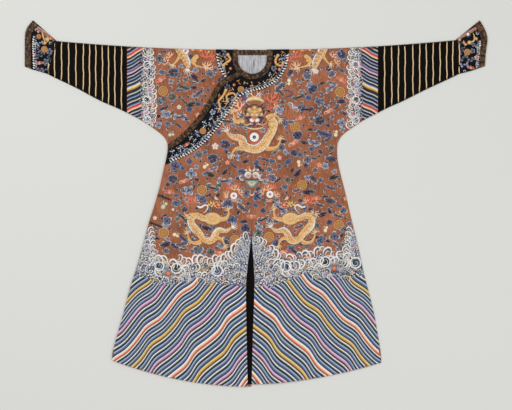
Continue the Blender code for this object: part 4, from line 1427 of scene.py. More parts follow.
def make_sleeve_waves(side, node, name):
    """The strip of waves before the stripes of one sleeve."""
    rng = random.Random(SEED + 7 * side)
    outline = outline_of(node)
    kinds = kit["kinds"]
    low, high = SLEEVE_WAVES
    rows = []
    for row, out in enumerate(np.arange(low + 10, high + 4, 16)):
        for up in np.arange(*SLEEVE_UPS, FAN_STEP) + FAN_STEP / 2 * (row % 2):
            rows.append((pick(rng, FOAMS), out, up, 80 + rng.uniform(-50, 50),
                         rng.uniform(0.8, 1.15)))
    for up in np.arange(*SLEEVE_UPS, 20):
        lean = rng.uniform(-40, 40)
        rows.append((kinds[rng.choice(EDGE_CLAWS)], low + rng.uniform(-7, 8), up, 75 + lean,
                     rng.uniform(0.6, 1.0)))
        rows.append((pick(rng, CLAWS), low + 20 + rng.uniform(-4, 14), up + 10,
                     60 + 2 * lean, rng.uniform(0.6, 0.9)))
    rows += [(kinds[word], (low + high) / 2, up, 0, 0.75) for up, word in SLEEVE_AFLOAT]
    rows = kept_rows(mirrored(rows, side), outline, 3)
    ups = np.arange(SLEEVE_FROM - 20, 690, 5.0)
    lines = [np.stack([CENTRE_X + side * (edge + 3 * np.sin(ups / 17 + edge)), ups], 1)
             for edge in np.linspace(low + 9, high + 8, 6)]
    lay_waves(lines, "wine brick steel wine plum navy", rows, name, node)


# ---------------------------------------------------------------- dragons

GOLD_BODY = "rust cream honey wheat apricot honey wheat amber"


def serpent(t):
    """Width of a dragon's body from neck to tail."""
    swell = 1 + 0.07 * np.sin(t * 17 + 1)
    return swell * np.minimum(1, 0.85 + t) * (1 - 0.7 * np.clip((t - 0.6) / 0.4, 0, 1) ** 1.5)


def dragon_body(work, path, half, fins):
    """A scaled body; fins are stretches (start, end, side) of white fin on its back."""
    count = 70
    line = smooth(path, count)
    side, ahead = headings(line)
    reach = half * serpent(np.linspace(0, 1, count))
    work.stroke(line, half + 1.6, "bronze", serpent, 0.5, count)
    work.stroke(line, half, GOLD_BODY, serpent, 2.4, count)
    for start, end, way in fins:
        first, last = int(start * count), int(end * count)
        rim = (line + side * (reach * way * 1.02)[:, None])[first:last]
        work.stroke(rim, 2.7, "pearl white white", leaf, 2.6, len(rim))
        for i in range(first, last, 2):
            root = line[i] + side[i] * reach[i] * way
            tip = root + side[i] * way * 4.5 + ahead[i] * 5
            work.stroke((root - ahead[i] * 2, tip), 1.7, "pearl", comma, 1.0, 4)
    scales = Needlework()
    for i in range(2, count - 4, 2):
        for place in (-0.5, 0.05, 0.6):
            middle = line[i] + side[i] * reach[i] * (place - 0.25 * (i // 2 % 2))
            turn = math.degrees(math.atan2(ahead[i][1], ahead[i][0]))
            start = len(scales.points)
            scales.stroke(arc(middle, reach[i] * 0.22 + 0.6, turn + 100, turn + 260, 5), 0.95,
                          "rust amber cream rust tan".split()[(i + int(place * 5)) % 5],
                          leaf, 0.3, 5)
            lift = 2.4 * (1 - place**2) + 0.05
            scales.points[start:] = [(x, y, z + lift) for x, y, z in scales.points[start:]]
    work.add(scales, 0, 0)


def toward(angle):
    """A unit vector at an angle in radians."""
    return np.array((math.cos(angle), math.sin(angle)))


def limb(t):
    """Width of a leg: a round haunch, a thin shank."""
    return 1.25 - 0.85 * np.sin(np.clip(t, 0, 1) * 1.45) ** 1.4


def claw_foot(work, path, half, toes=4):
    """A leg that ends in spread claws, with a lick of pale hair at its bend."""
    work.stroke(path, half + 2.6, "bronze", limb, 0.5)
    line = work.stroke(path, half + 1.2, "rust wheat honey apricot honey rust", limb, 2.0)
    way = line[-1] - line[-3]
    heading = math.atan2(way[1], way[0])
    elbow = line[len(line) // 2]
    for lick in (-0.5, 0.1):
        away = elbow + 19 * toward(heading + 2.4 + lick)
        work.stroke((elbow, (elbow + away) / 2 + (2, 2), away), 2.6, "wheat cream", comma, 1.2, 6)
    for toe in range(toes):
        turn = heading + math.radians(-80 + 160 * toe / (toes - 1))
        tip = line[-1] + 21 * toward(turn)
        bend = line[-1] + 12 * toward(turn + 0.5)
        work.stroke((line[-1], bend, tip), 4.4, "rust", comma, 0.6, 7)
        work.stroke((line[-1], bend, tip), 3.3,
                    "apricot wheat honey" if toe % 2 else "honey cream tan",
                    comma, 1.7, 7)


def tail_fan(work, end, heading, size):
    """Five white blades that spread from a tail's end."""
    for step in range(-2, 3):
        turn = math.radians(heading + step * 27)
        reach = (38 - 4 * abs(step)) * size
        tip = end + reach * toward(turn)
        bend = end + 0.55 * reach * toward(turn - 0.3)
        work.stroke((end, bend, tip), 3.2, "slate", comma, 0.7, 8)
        work.stroke((end, bend, tip), 2.6, "cream white", comma, 1.3, 8)


def flames(work, places, side=1):
    """Tongues of fire: x, y, turn in degrees and size."""
    part = Needlework()
    flame(part, "red", "coral")
    bright = Needlework()
    flame(bright, "coral", "peach")
    for step, (x, y, turn, size) in enumerate(places):
        work.add(bright if step % 2 or step > 4 else part, CENTRE_X + side * (x - CENTRE_X), y,
                 side * turn, size)


def side_head(work, across):
    """A dragon's head in profile; across puts points on one side of the centre seam."""
    work.stroke(across((-246, -11), (-230, -16), (-212, -6), (-200, -13), (-207, -30),
                       (-224, -43)), 5.0, "pearl white white", comma, 1.8, 16)
    work.stroke(across((-238, -24), (-224, -20), (-213, -22)), 4.5, "plum tan plum", leaf, 1.0, 7)
    for lash in range(14):
        x = -202 + lash * 4.4 + 1.5 * math.sin(lash * 2.1)
        work.stroke(across((x, -15), (x - 2, -28 - 4 * (lash % 3))), 1.5,
                    "plum night" if lash % 2 else "slate lilac", comma, 1.0, 4)
    for foot, tip in (((-196, 0), (-207, 13)), ((-186, 2), (-190, 17)), ((-176, 2), (-172, 14)),
                      ((-190, -8), (-206, -4)), ((-168, 0), (-160, 12))):
        middle = ((foot[0] + tip[0]) / 2 - 3, (foot[1] + tip[1]) / 2)
        work.stroke(across(foot, middle, tip), 4.2, "umber gold wheat bronze", comma, 1.8, 6)
    for x, y, radius in ((-197, -6, 6.5), (-187, 3, 7), (-176, 0, 6.5), (-184, -11, 6.5),
                         (-171, -10, 6)):
        work.dot(across((x, y))[0], radius + 1.2, "umber", 10, rise=1.4)
        work.dot(across((x, y))[0], radius, "gold honey wheat", 10, rise=2.4)
    work.patch(across((-168, -5), (-161, 2), (-154, 8), (-147, -2), (-145, -10), (-151, -16),
                      (-164, -16)), "brick coral peach", 2.6)
    work.stroke(across((-168, -11), (-159, -13), (-148, -11)), 2.0, "brick red", leaf, 2.9, 7)
    for x, y in ((-192, -4), (-180, -5)):
        work.dot(across((x, y))[0], 3.8, "umber cream white", 9, rise=2.9)
        work.dot(across((x + 1, y))[0], 1.6, "night", 6, rise=3.2)
    for x, y in ((-165, -17), (-158, -18), (-151, -17), (-153, -6), (-160, 4)):
        work.dot(across((x, y))[0], 2.4, "peach white", 7, rise=3.1)
    work.patch(across((-170, 38), (-165, 28), (-152, 15), (-160, 12), (-172, 14), (-177, 22)),
               "bronze blush pearl", 1.4)
    work.stroke(across((-186, 30), (-180, 20), (-170, 14)), 2.6, "plum night", comma, 1.0, 7)
    for whisker in (((-147, 0), (-136, 6), (-138, 18)), ((-146, -14), (-134, -18), (-126, -10))):
        work.stroke(across(*whisker), 2.2, "cream peach", comma, 0.9, 8)


def front_head(work, x, y):
    """A dragon's head seen from the front, even on both sides."""
    def at(way, *points):
        return [(x + way * a, y + b) for a, b in points]

    for side in (-1, 1):
        for far, up in ((36, 36), (42, 22), (44, 6), (43, -10), (39, -26), (31, -40)):
            work.stroke(at(side, (16, up * 0.6), (far * 0.85, up * 0.9),
                           (far, up + 8)), 5.0, "plum navy night", comma, 1.0, 7)
            work.stroke(at(side, (20, up * 0.7 - 2), (far * 0.9, up + 1)), 1.3,
                        "lilac mauve", comma, 1.5, 5)
        work.stroke(at(side, (12, -40), (30, -50), (50, -40), (53, -22)),
                    2.8, "coral peach", comma, 1.2, 10)
        work.stroke(at(side, (20, -12), (38, -10), (47, 6), (42, 20)),
                    2.2, "white mist", comma, 1.6, 10)
    work.dot((x, y - 8), 36, "plum steel steel", 26, 1.2, rise=0.7)
    face = [(8, 35), (15, 27), (25, 25), (33, 20), (34, 10), (38, 2), (36, -9), (28, -15),
            (18, -16), (14, -25), (0, -28)]
    face = face + [(-a, b) for a, b in face[-2::-1]] + [(0, 34)]
    work.patch([(x + 1.08 * a, y + 1.06 * b) for a, b in face], "umber bronze", 1.2)
    work.patch(at(1, *face), "amber tan honey honey", 2.4)
    for bump_x, bump_y, radius in ((0, 23, 10), (-21, 14, 11), (21, 14, 11), (-29, -4, 8),
                                   (29, -4, 8), (0, 6, 8)):
        work.dot(at(1, (bump_x, bump_y))[0], radius, "amber honey wheat wheat", 14, rise=3.2)
        work.stroke(arc(at(1, (bump_x, bump_y))[0], radius * 0.55, 20, 200, 6), 1.4, "wheat",
                    comma, 3.3, 6)
        work.stroke(arc(at(1, (bump_x, bump_y))[0], radius + 0.5, 10, 170, 8), 1.5,
                    "bronze plum bronze", leaf, 3.2, 8)
    for side in (-1, 1):
        work.dot(at(side, (10, -8))[0], 6.4, "pine white white", 12, 0.85, rise=3.4)
        work.dot(at(side, (9, -8))[0], 3.0, "night moss", 8, rise=3.9)
        work.stroke(at(side, (2, -1), (11, 2), (20, -3)), 1.7, "umber bronze", leaf, 3.6, 7)
        work.stroke(at(side, (4, 15), (12, 10), (20, 11)), 1.4, "bronze amber", leaf, 3.4, 7)
        work.dot(at(side, (11, -30))[0], 13, "wine blush white white", 14, 0.8, 20 * side, 3.2)
    work.dot(at(1, (0, -24))[0], 6, "brick coral blush", 12, 0.8, rise=3.8)
    work.dot(at(1, (0, -42))[0], 9, "wine red", 12, 0.5, rise=2.8)
    for tooth in (-14, -8, 8, 14):
        work.dot(at(1, (tooth, -46))[0], 2.4, "white", 6, rise=3.1)
    for strand in range(-5, 6):
        work.stroke(at(1, (strand * 4.4, -50), (strand * 6.6, -60 + abs(strand))), 1.9,
                    "steel plum", comma, 1.2, 5)
    work.stroke(at(1, (-44, -53), (-26, -62), (0, -66), (26, -62), (44, -53)), 5.0,
                "bronze honey cream honey bronze", leaf, 2.0, 16)
    work.stroke(at(1, (-40, 43), (-25, 56), (0, 62), (25, 56), (40, 43)), 11.5,
                "bronze honey wheat cream wheat honey bronze", leaf, 2.2,
                20)
    for side in (-1, 1):
        for step, colour in ((0, "slate"), (1, "ice")):
            work.stroke(arc((x + side * 26, y + 74 - 2 * step), 9 - 4 * step, 20, 300, 9), 2.6,
                        (colour, "pearl", colour), leaf, 1.0, 9)
        work.stroke(at(side, (4, 66), (13, 80), (9, 94), (17, 100)), 2.8,
                    "peach blush", comma, 1.2, 8)
        work.stroke(at(side, (10, 78), (22, 84), (24, 92)), 2.0, "peach white", comma, 1.2, 6)


# Neck to tail of each body, in millimetres; the lower pair mirror each other
LOWER_BODY = (
    (-195, -62), (-219, -61), (-248, -50), (-268, -64), (-265, -87), (-250, -106),
    (-233, -127), (-219, -147), (-196, -157), (-176, -148), (-167, -126), (-153, -112),
    (-138, -115), (-120, -114), (-101, -99),
)
CHEST_BODY = (
    (62, 352), (74, 334), (70, 310), (62, 290), (48, 268), (38, 250), (20, 232), (-3, 223),
    (-30, 227), (-49, 236), (-57, 249), (-60, 262), (-75, 271), (-95, 274), (-111, 284),
    (-124, 300),
)
SHOULDER_BODY = ((-326, 652), (-316, 628), (-300, 606), (-288, 580), (-283, 556))


def across_centre(side, points):
    """Points given on the wearer's right, put on either side of the centre seam."""
    return [(CENTRE_X - side * (x - CENTRE_X), y) for x, y in points]


def lower_dragon(work, side):
    """One of the two dragons that face each other over the hem."""
    def across(*points):
        return across_centre(side, points)

    flames(work, ((-270, 14, 20, 1.4), (-244, 12, -30, 0.9), (-112, 70, 20, 0.9),
                  (-88, 66, -10, 1.1), (-108, 72, 0, 0.8), (-126, 38, 60, 0.95),
                  (-124, 30, 90, 0.6), (-62, 46, -55, 0.95), (-98, 12, 150, 0.5),
                  (-86, 12, 200, 0.5)), -side)
    tail_fan(work, np.array(across((-102, -100))[0]), 90 + side * 42, 0.9)
    claw_foot(work, across((-228, -158), (-250, -164), (-270, -158), (-281, -140),
                           (-284, -122)), 8, 5)
    claw_foot(work, across((-176, -142), (-152, -145), (-139, -155), (-131, -176)), 8.5, 5)
    claw_foot(work, across((-254, -44), (-270, -42), (-286, -48)), 5)
    claw_foot(work, across((-150, -66), (-126, -63), (-115, -45), (-114, -25)), 8.5, 5)
    dragon_body(work, across(*LOWER_BODY), 15, ((0.22, 0.46, side), (0.56, 0.98, -side)))
    x, y = across((-181, -63))[0]
    work.dot((x, y), 39.5, "bronze", 24, 0.72, 4 * side, 1.4)
    work.dot((x, y), 38, "tan wheat honey honey wheat", 24, 0.71, 4 * side, 3.0)
    work.stroke(across((-197, -60), (-184, -66), (-172, -61), (-180, -55), (-190, -58)), 2.0,
                "slate ice", leaf, 3.4, 12)
    side_head(work, across)


def chest_dragon(work):
    """The dragon on the chest, seen from the front, curled round its pearl."""
    flames(work, (
        (66, 436, -20, 1.7), (-76, 404, 40, 1.6), (58, 396, -50, 1.0), (-74, 372, 60, 1.0),
        (-64, 428, 10, 1.0), (84, 404, -60, 0.8)))
    for start, end, spread in ((195, 345, 27), (20, 75, 33), (105, 160, 33)):
        work.stroke(arc((-8, 276), spread, start, end, 14), 4.0, "brick coral brick",
                    leaf, 0.9, 14)
    tail_fan(work, np.array((-122, 296)), 122, 0.95)
    claw_foot(work, ((40, 228), (62, 227), (85, 234), (96, 250), (101, 266)), 8.5, 5)
    claw_foot(work, ((-42, 228), (-64, 228), (-81, 230), (-95, 217), (-103, 201)), 8.5, 5)
    claw_foot(work, ((-66, 340), (-86, 342), (-91, 360), (-96, 380)), 8, 5)
    claw_foot(work, ((43, 352), (66, 366), (89, 360), (96, 346)), 9, 5)
    dragon_body(work, CHEST_BODY, 18, ((0.16, 0.96, 1 if CHEST_BODY[3][0] < 0 else -1),))
    for x, y, radius in ((66, 330, 18), (-58, 342, 12)):
        work.dot((x, y), radius + 1.5, "bronze", 18, rise=1.4)
        work.dot((x, y), radius, "tan honey wheat wheat", 18, rise=3.0)
        work.stroke(arc((x, y), radius * 0.5, 30, 290, 10), 1.8, "amber tan", comma, 3.4, 10)
    front_head(work, -7, 375)


def shoulder_dragon(work, side):
    """The near half of a dragon that lies across the shoulder."""
    def across(*points):
        return across_centre(side, points)

    flames(work, ((-204, 620, 0, 1.5), (-200, 572, -30, 1.3), (-184, 600, 20, 1.0),
                  (-362, 616, 30, 1.0), (-236, 640, 0, 0.9), (-376, 588, 50, 0.9)), -side)
    tail_fan(work, np.array(across((-282, 560))[0]), -90, 0.9)
    claw_foot(work, across((-330, 652), (-318, 618), (-330, 592), (-346, 576)), 9, 5)
    claw_foot(work, across((-244, 612), (-264, 594), (-254, 574), (-232, 567), (-214, 563)), 7.5,
              5)
    dragon_body(work, across(*SHOULDER_BODY), 16, ((0.4, 0.95, -side),))
    for x, y, radius in ((-262, 640, 9), (-212, 646, 8), (-246, 610, 10), (-230, 636, 7),
                         (-196, 630, 6), (-252, 592, 7)):
        x, y = across((x, y))[0]
        work.dot((x, y), radius + 1.5, "bronze", 12, rise=1.2)
        work.dot((x, y), radius, "tan honey wheat", 12, rise=2.4)


def emblem(work):
    """A scrolled sky emblem of cloud lobes in pale green, cream and gold."""
    x, y = CENTRE_X + 2, 96

    def at(way, *points):
        return [(x + way * a, y + b) for a, b in points]

    for side in (-1, 1):
        for radius, colour in ((12, "pearl"), (7, "slate")):
            work.stroke(arc((x + side * 40, y + 12), radius, 60, 330, 10), 2.3,
                        (colour, "white", colour), leaf, 1.0, 10)
        work.stroke(at(side, (30, -2), (40, -8), (48, 0)), 2.4, "plum bronze", comma, 1.0, 8)
        lobe = at(side, (15, 19))[0]
        work.dot(lobe, 14, "wine blush mist moss", 18, 0.9, rise=1.2)
        work.stroke(arc(lobe, 13.5, -35 if side > 0 else 5, 175 if side > 0 else 215, 12), 4.0,
                    "blush white white blush", leaf, 2.2, 12)
        work.stroke(arc(lobe, 6, -30, 150, 7), 1.4, "ivory pearl", leaf, 2.4, 7)
        for bud_x, bud_y in ((24, 42), (8, 42)):
            work.dot(at(side, (bud_x, bud_y))[0], 6.5, "gold cream cream", 10, 0.75,
                     35 * side, 1.2)
        work.stroke(at(side, (2, 34), (12, 52), (6, 64)), 2.2, "white blush", comma, 1.0, 8)
    work.patch(at(1, (-30, 2), (-28, -12), (-16, -26), (0, -34), (16, -26), (28, -12), (30, 2),
                  (0, 4)), "moss sage ivory sage", 1.6)
    work.stroke(at(1, (-34, 5), (-14, 1), (0, 2), (14, 1), (34, 5)), 1.6,
                "umber night", leaf, 2.4, 14)
    work.stroke(at(1, (-16, -6), (0, -8), (16, -6)), 1.6, "brick umber", leaf, 2.6, 9)
    for side in (-1, 1):
        work.stroke(arc(at(side, (9, -10))[0], 5, 40, 330, 9), 1.9, "pearl white pearl",
                    comma, 2.6, 9)
        work.stroke(at(side, (6, -24), (16, -18), (24, -8)), 1.6, "pine moss", leaf, 2.2, 7)
        work.stroke(at(side, (18, -46), (28, -50), (20, -52)), 2.0, "coral brick", leaf, 1.0, 6)
    work.stroke(at(1, (-12, -52), (-6, -59), (0, -61), (6, -59), (12, -52)), 3.4,
                "coral peach blush", leaf, 1.4, 10)


# ---------------------------------------------------------------- the field of clouds

# x, y, motif, turn in degrees, size
FIELD = (
    (-387, 467, "roundel", 0, 1.0), (348, 463, "roundel", 0, 1.0),
    (161, 317, "roundel", 0, 1.0), (190, 77, "roundel", 0, 1.0),
    (-225, 56, "roundel", 0, 1.0), (-383, -122, "roundel", 0, 1.05),
    (-88, -151, "roundel", 0, 1.0), (343, -89, "roundel", 0, 1.0),
    (53, -139, "roundel", 0, 1.0),
    (-8, 275, "pearl large", 0, 1.0), (-93, 32, "pearl small", 0, 1.0),
    (57, 38, "pearl small", 0, 1.05), (-293, 633, "pearl small", 0, 0.95),
    (268, 633, "pearl small", 0, 0.95),
    (-20, -52, "bat coral", 180, 1.0), (-150, -205, "bat coral", 170, 1.1),
    (107, -201, "bat coral", 190, 1.1), (-360, 46, "bat coral", 0, 1.0),
    (184, 354, "bat coral", 20, 1.0), (152, 398, "bat grey", -40, 1.3),
    (155, 248, "bat pale", 30, 1.1), (-170, 237, "flower cream", 0, 1.3),
    (-170, 246, "flame pale", 0, 0.5), (-242, 367, "flower pink", 0, 1.0),
    (-396, 512, "bat coral", 30, 1.15), (352, 512, "bat coral", -30, 1.1),
    (-177, 498, "bud", 0, 1.3), (-333, -131, "gourd", 0, 1.1),
    (289, -106, "gourd", 90, 1.1), (-209, 156, "gourd", 60, 1.1),
    (177, 166, "gourd", -60, 1.1), (331, 291, "gourd", 100, 1.1),
    (136, 504, "gourd", -70, 1.1), (132, 455, "hook", 0, 1.2),
    (-352, 286, "gourd pale", 30, 1.1), (-276, 215, "bat pale", 0, 1.0),
    (262, 160, "flower pink", 0, 1.0), (300, 380, "bat pale", 30, 1.0),
    (-320, 400, "flower cream", 0, 0.9), (250, 20, "bat coral", 0, 1.0),
    (-300, 90, "bat pale", 20, 1.0), (371, 20, "flower pink", 0, 0.9),
    (-420, -60, "flower cream", 0, 0.8), (248, 548, "flower cream", 0, 1.0),
    (-120, 170, "flower pink", 0, 0.9), (96, 190, "flower red", 0, 0.9),
    (-381, -8, "gourd pale", 70, 1.4), (-345, -25, "flower cream", 0, 0.6),
)

SEAM_REACH = 26.0  # a motif this near to the centre seam lies across it

# x, y, radius: places that the clouds leave free
CLEAR = (
    (-7, 375, 64), (-7, 448, 38), (-20, 95, 46), (-20, 50, 22), (-180, 0, 42), (140, 0, 42),
    (-8, 275, 46), (66, 436, 36), (-74, 400, 36), (-262, 8, 32), (222, 8, 32),
    (-130, 38, 22), (-64, 44, 22), (90, 38, 22), (24, 44, 22), (-20, 40, 16),
    (-182, -60, 40), (142, -60, 40), (-172, 22, 24), (132, 22, 24),
    (-92, 58, 22), (56, 62, 22), (-400, 30, 24), (-370, 22, 24), (-430, -84, 26),
    (-402, -92, 26),
)


PLACES = ((-620, 600), (-330, 680))  # x and y between which places are picked


def free_places(rng, test, taken, gap, tries):
    """Places picked at random that keep a gap to each other and to what is there."""
    spots = np.array([(rng.uniform(*PLACES[0]), rng.uniform(*PLACES[1])) for _ in range(tries)])
    taken = np.array(taken, float)
    away = np.linalg.norm(spots[:, None] - taken[None, :, :2], axis=2) > taken[None, :, 2]
    spots = spots[test(spots) & away.all(axis=1)]
    found = np.empty((0, 2))
    for spot in spots:
        if not len(found) or np.linalg.norm(found - spot, axis=1).min() > gap:
            found = np.vstack([found, spot])
    return found


# What the two shoulder heads cover, given on the wearer's right
SHOULDER_HEADS = ((-220, 610), (-250, 640), (-200, 580), (-210, 640), (-340, 600), (-240, 590))


def field_taken():
    """What stands in the field already, as x, y and radius."""
    taken = list(CLEAR)
    taken += [(x, y, 20 * size + 16) for x, y, _, _, size in FIELD]
    taken += [(x, y, 38) for x, y in smooth(CHEST_BODY, 24)]
    for side in (RIGHT, LEFT):
        for path in (LOWER_BODY, SHOULDER_BODY):
            taken += [(x, y, 34) for x, y in smooth(across_centre(side, path), 24)]
        taken += [(x, y, 40) for x, y in across_centre(side, SHOULDER_HEADS)]
    return taken


def make_seam_motifs(name):
    """The motifs that lie across the centre seam."""
    rows = numbered(row for row in FIELD if abs(row[0] - CENTRE_X) <= SEAM_REACH)
    return lay(name, rows, kit["front"])


CLOUD_TURNS = (-40, -20, 0, 20, 40, 140, 160, 200, 220)


def make_field(node, name, hidden, seed):
    """The clouds and small motifs of one front."""
    rng = random.Random(seed)
    outline = outline_of(node)
    covers = [outline_of(other) for other in hidden]

    def free(points, edge):
        out = np.abs(points[:, 0] - CENTRE_X)
        side = RIGHT if points[:, 0].mean() < CENTRE_X else LEFT
        held = inside(outline, points) & (distance_to(outline, points) > edge)
        held &= points[:, 1] > wave_edge(WAVE_TOP, side, out) + edge - 6
        held &= (points[:, 1] < SLEEVE_FROM) | (out < SLEEVE_WAVES[0] - 6 - edge)
        for cover in covers:
            held &= ~inside(cover, points) & (distance_to(cover, points) > edge - 6)
        return held

    rows = numbered(row for row in FIELD if abs(row[0] - CENTRE_X) > SEAM_REACH)
    held = free(np.array([row[1:3] for row in rows], float), 3)
    rows = [row for row, keep in zip(rows, held) if keep]
    taken = field_taken()
    gap = bpy.context.scene.robe_sizes.cloud_gap / MM
    clouds = [word for word in kit["kinds"] if word.startswith("cloud")]
    # Large clouds first, then small ones, which may crowd what is there by `closer`:
    # distance from edges, gap, least size, space that each takes, closer, least space
    for edge, apart, least, room, closer, spare in (
            (20, gap, 0.88, 29, 0, 0), (13, gap * 0.66, 0.5, 29, 9, 14)):
        near = [(x, y, max(radius - closer, spare)) for x, y, radius in taken]
        for x, y in free_places(rng, lambda at: free(at, edge), near, apart, 14000):
            rows.append((pick(rng, clouds), x, y, rng.choice(CLOUD_TURNS),
                         least + rng.uniform(0, 0.22)))
            taken.append((x, y, room))
    taken = [(x, y, max(radius - 12, 12)) for x, y, radius in taken]
    for x, y in free_places(rng, lambda at: free(at, 9), taken, 22, 6000):
        rows.append((pick(rng, ("curl", "curl grey", "bud")), x, y, rng.uniform(0, 360), 0.75))
    return lay(name, rows, kit[node])


# ---------------------------------------------------------------- sleeves, cuffs and collar

# x of each gold line couched down the black sleeves, in millimetres
COUCHED = {
    "right": (-861.7, -836.4, -807.4, -777.9, -748, -717.3, -691.6, -665.5, -638.1, -612.7,
              -586.2, -558.8),
    "left": (532.2, 562.1, 589.9, 617.3, 650.1, 677.9, 705.7, 733.5, 762.6, 790.4, 815.3,
             842.7),
}

# x, y, motif, turn in degrees, size, on each cuff
CUFF_MOTIFS = {
    "right": (
        (-879, 639.5, "roundel", 0, 0.66), (-899.6, 581, "bat coral", 10, 0.75),
        (-911.5, 719, "curl", 20, 0.95), (-897, 664, "cloud 43", 10, 0.55),
        (-902, 640, "cloud 40", 100, 0.5), (-853.5, 665, "curl", 60, 0.8),
        (-856, 632, "cloud 30", 70, 0.6), (-895, 615, "cloud 11", 30, 0.6),
        (-856, 602, "cloud 41", 120, 0.5), (-873, 588, "cloud 00", 60, 0.6),
        (-898, 555, "cloud 10", 0, 0.55), (-875, 553, "cloud 40", 0, 0.55),
        (-856, 572, "curl", 90, 0.8), (-916, 664, "flower red", 0, 0.5),
        (-917, 616, "flower pink", 0, 0.6), (-858, 545, "curl", 0, 0.8),
    ),
    "left": (
        (875.4, 628, "roundel", 0, 0.66), (889.6, 562, "bat coral", -10, 0.75),
        (918, 707, "curl", 160, 0.95), (914.5, 606, "flower red", 0, 0.95),
        (853.4, 664, "cloud 41", 0, 0.55), (853.4, 634.5, "cloud 11", 60, 0.55),
        (898, 634.5, "cloud 30", 100, 0.5), (860, 603, "cloud 40", 30, 0.6),
        (889.6, 595.5, "cloud 10", 20, 0.6), (863, 573, "cloud 43", 0, 0.6),
        (915.7, 577, "curl grey", 80, 0.8), (900, 660, "cloud 00", 120, 0.45),
        (864, 548, "curl", 20, 0.8), (915, 650, "curl", 90, 0.7),
    ),
}
# Path of the small waves inside the cuff's border
CUFF_FRINGE = {
    "right": ((-925, 700), (-929, 664), (-928, 622), (-925, 556)),
    "left": ((931, 680), (931, 640), (929, 600), (926, 556)),
}
# Path of the band along the cuff's top edge
CUFF_TOP = {
    "right": ((-917, 735), (-880, 709), (-838, 680)),
    "left": ((915, 730), (880, 709), (840, 686)),
}

# x, y, motif, turn in degrees, size, on the collar
COLLAR_MOTIFS = (
    (-63.5, 473, "roundel", 0, 0.66), (-221, 301, "roundel", 0, 0.66),
    (-287.4, 243, "bat coral", 40, 0.7), (-92, 492, "bud", 0, 1.2),
    (-107, 560, "bud", 0, 1.2), (96, 556, "flower pink", 0, 0.6),
)
# The band's outer edge: round the right of the ring, then round its left and down the band
COLLAR_EDGES = (
    ((-158, 628), (-157, 604), (-156, 575), (-150, 546), (-138, 517)),
    ((132, 625), (133, 587), (128, 558), (111, 525), (86, 492), (61, 477), (36, 469),
     (7, 459), (-26, 454), (-55, 450), (-76, 434), (-96, 405), (-117, 376), (-134, 347),
     (-155, 317), (-175, 293), (-209, 268), (-246, 243), (-287, 214), (-325, 185),
     (-362, 156)),
)


COUCHED_UPS = (300, 760, 4.0)  # heights of the points of a line: from, to, step
CUFF_FROM, CUFF_TIP = 830, 850  # the cuff's lines, and those on its tip, lie beyond these
LINE_TOPS = (668, 585)  # where a line ends on the cuff, and on its tip


def make_couched(side):
    """The gold lines couched down one sleeve and on to its cuff."""
    for node in ("sleeve_" + side, "cuff_" + side):
        outline = outline_of(node)
        work = Needlework()
        for x in COUCHED[side]:
            ups = np.arange(*COUCHED_UPS)
            line = np.stack([x + 0.9 * np.sin(ups / 19 + x) + 0.5 * np.sin(ups / 7), ups], 1)
            top = LINE_TOPS[abs(x) > CUFF_TIP]
            held = line[inside(outline, line) & (ups < top if "cuff" in node else True)]
            if len(held) < 4 or ("cuff" in node and abs(x) < CUFF_FROM):
                continue
            work.stroke(held, 2.5, "tan wheat cream wheat amber", rod, 1.4, len(held) // 2)
        lay("couched_lines_" + node, work, kit[node], GILT_THREAD)


def fringe(work, line, way, sizes):
    """Small white-edged waves along a line; way is the side that they break to."""
    side, ahead = headings(line)
    first, second, third = sizes
    curls = ("white white pearl", "pearl white mist", "blush white lilac",
             "white cream slate", "ice white white")
    for i in range(1, len(line) - 1):
        if i % 2:
            foot = line[i] + side[i] * way * (first + (i * 5 % 3))
            bend = line[i] + side[i] * way * second + ahead[i] * 5
            tip = line[i] + side[i] * way * (third + i % 4) + ahead[i] * 4
            work.stroke((foot, bend, tip), 4.2 if i % 3 else 3.2, curls[i * 3 % 5], comma, 1.5, 7)
        root = line[i] + side[i] * way * (third + 1)
        work.stroke((root, root + side[i] * way * 4 - ahead[i] * 3,
                     root + side[i] * way * (3 + i % 3 * 2) + ahead[i] * 4), 1.9,
                    "fog ice slate pearl steel".split()[(i * 7 // 3) % 5], comma, 1.3, 6)


# Distance from the edge, gap to each other and number of tries of the filling motifs
CUFF_FILLING, COLLAR_FILLING = (10, 11, 90000), (13, 15.5, 30000)


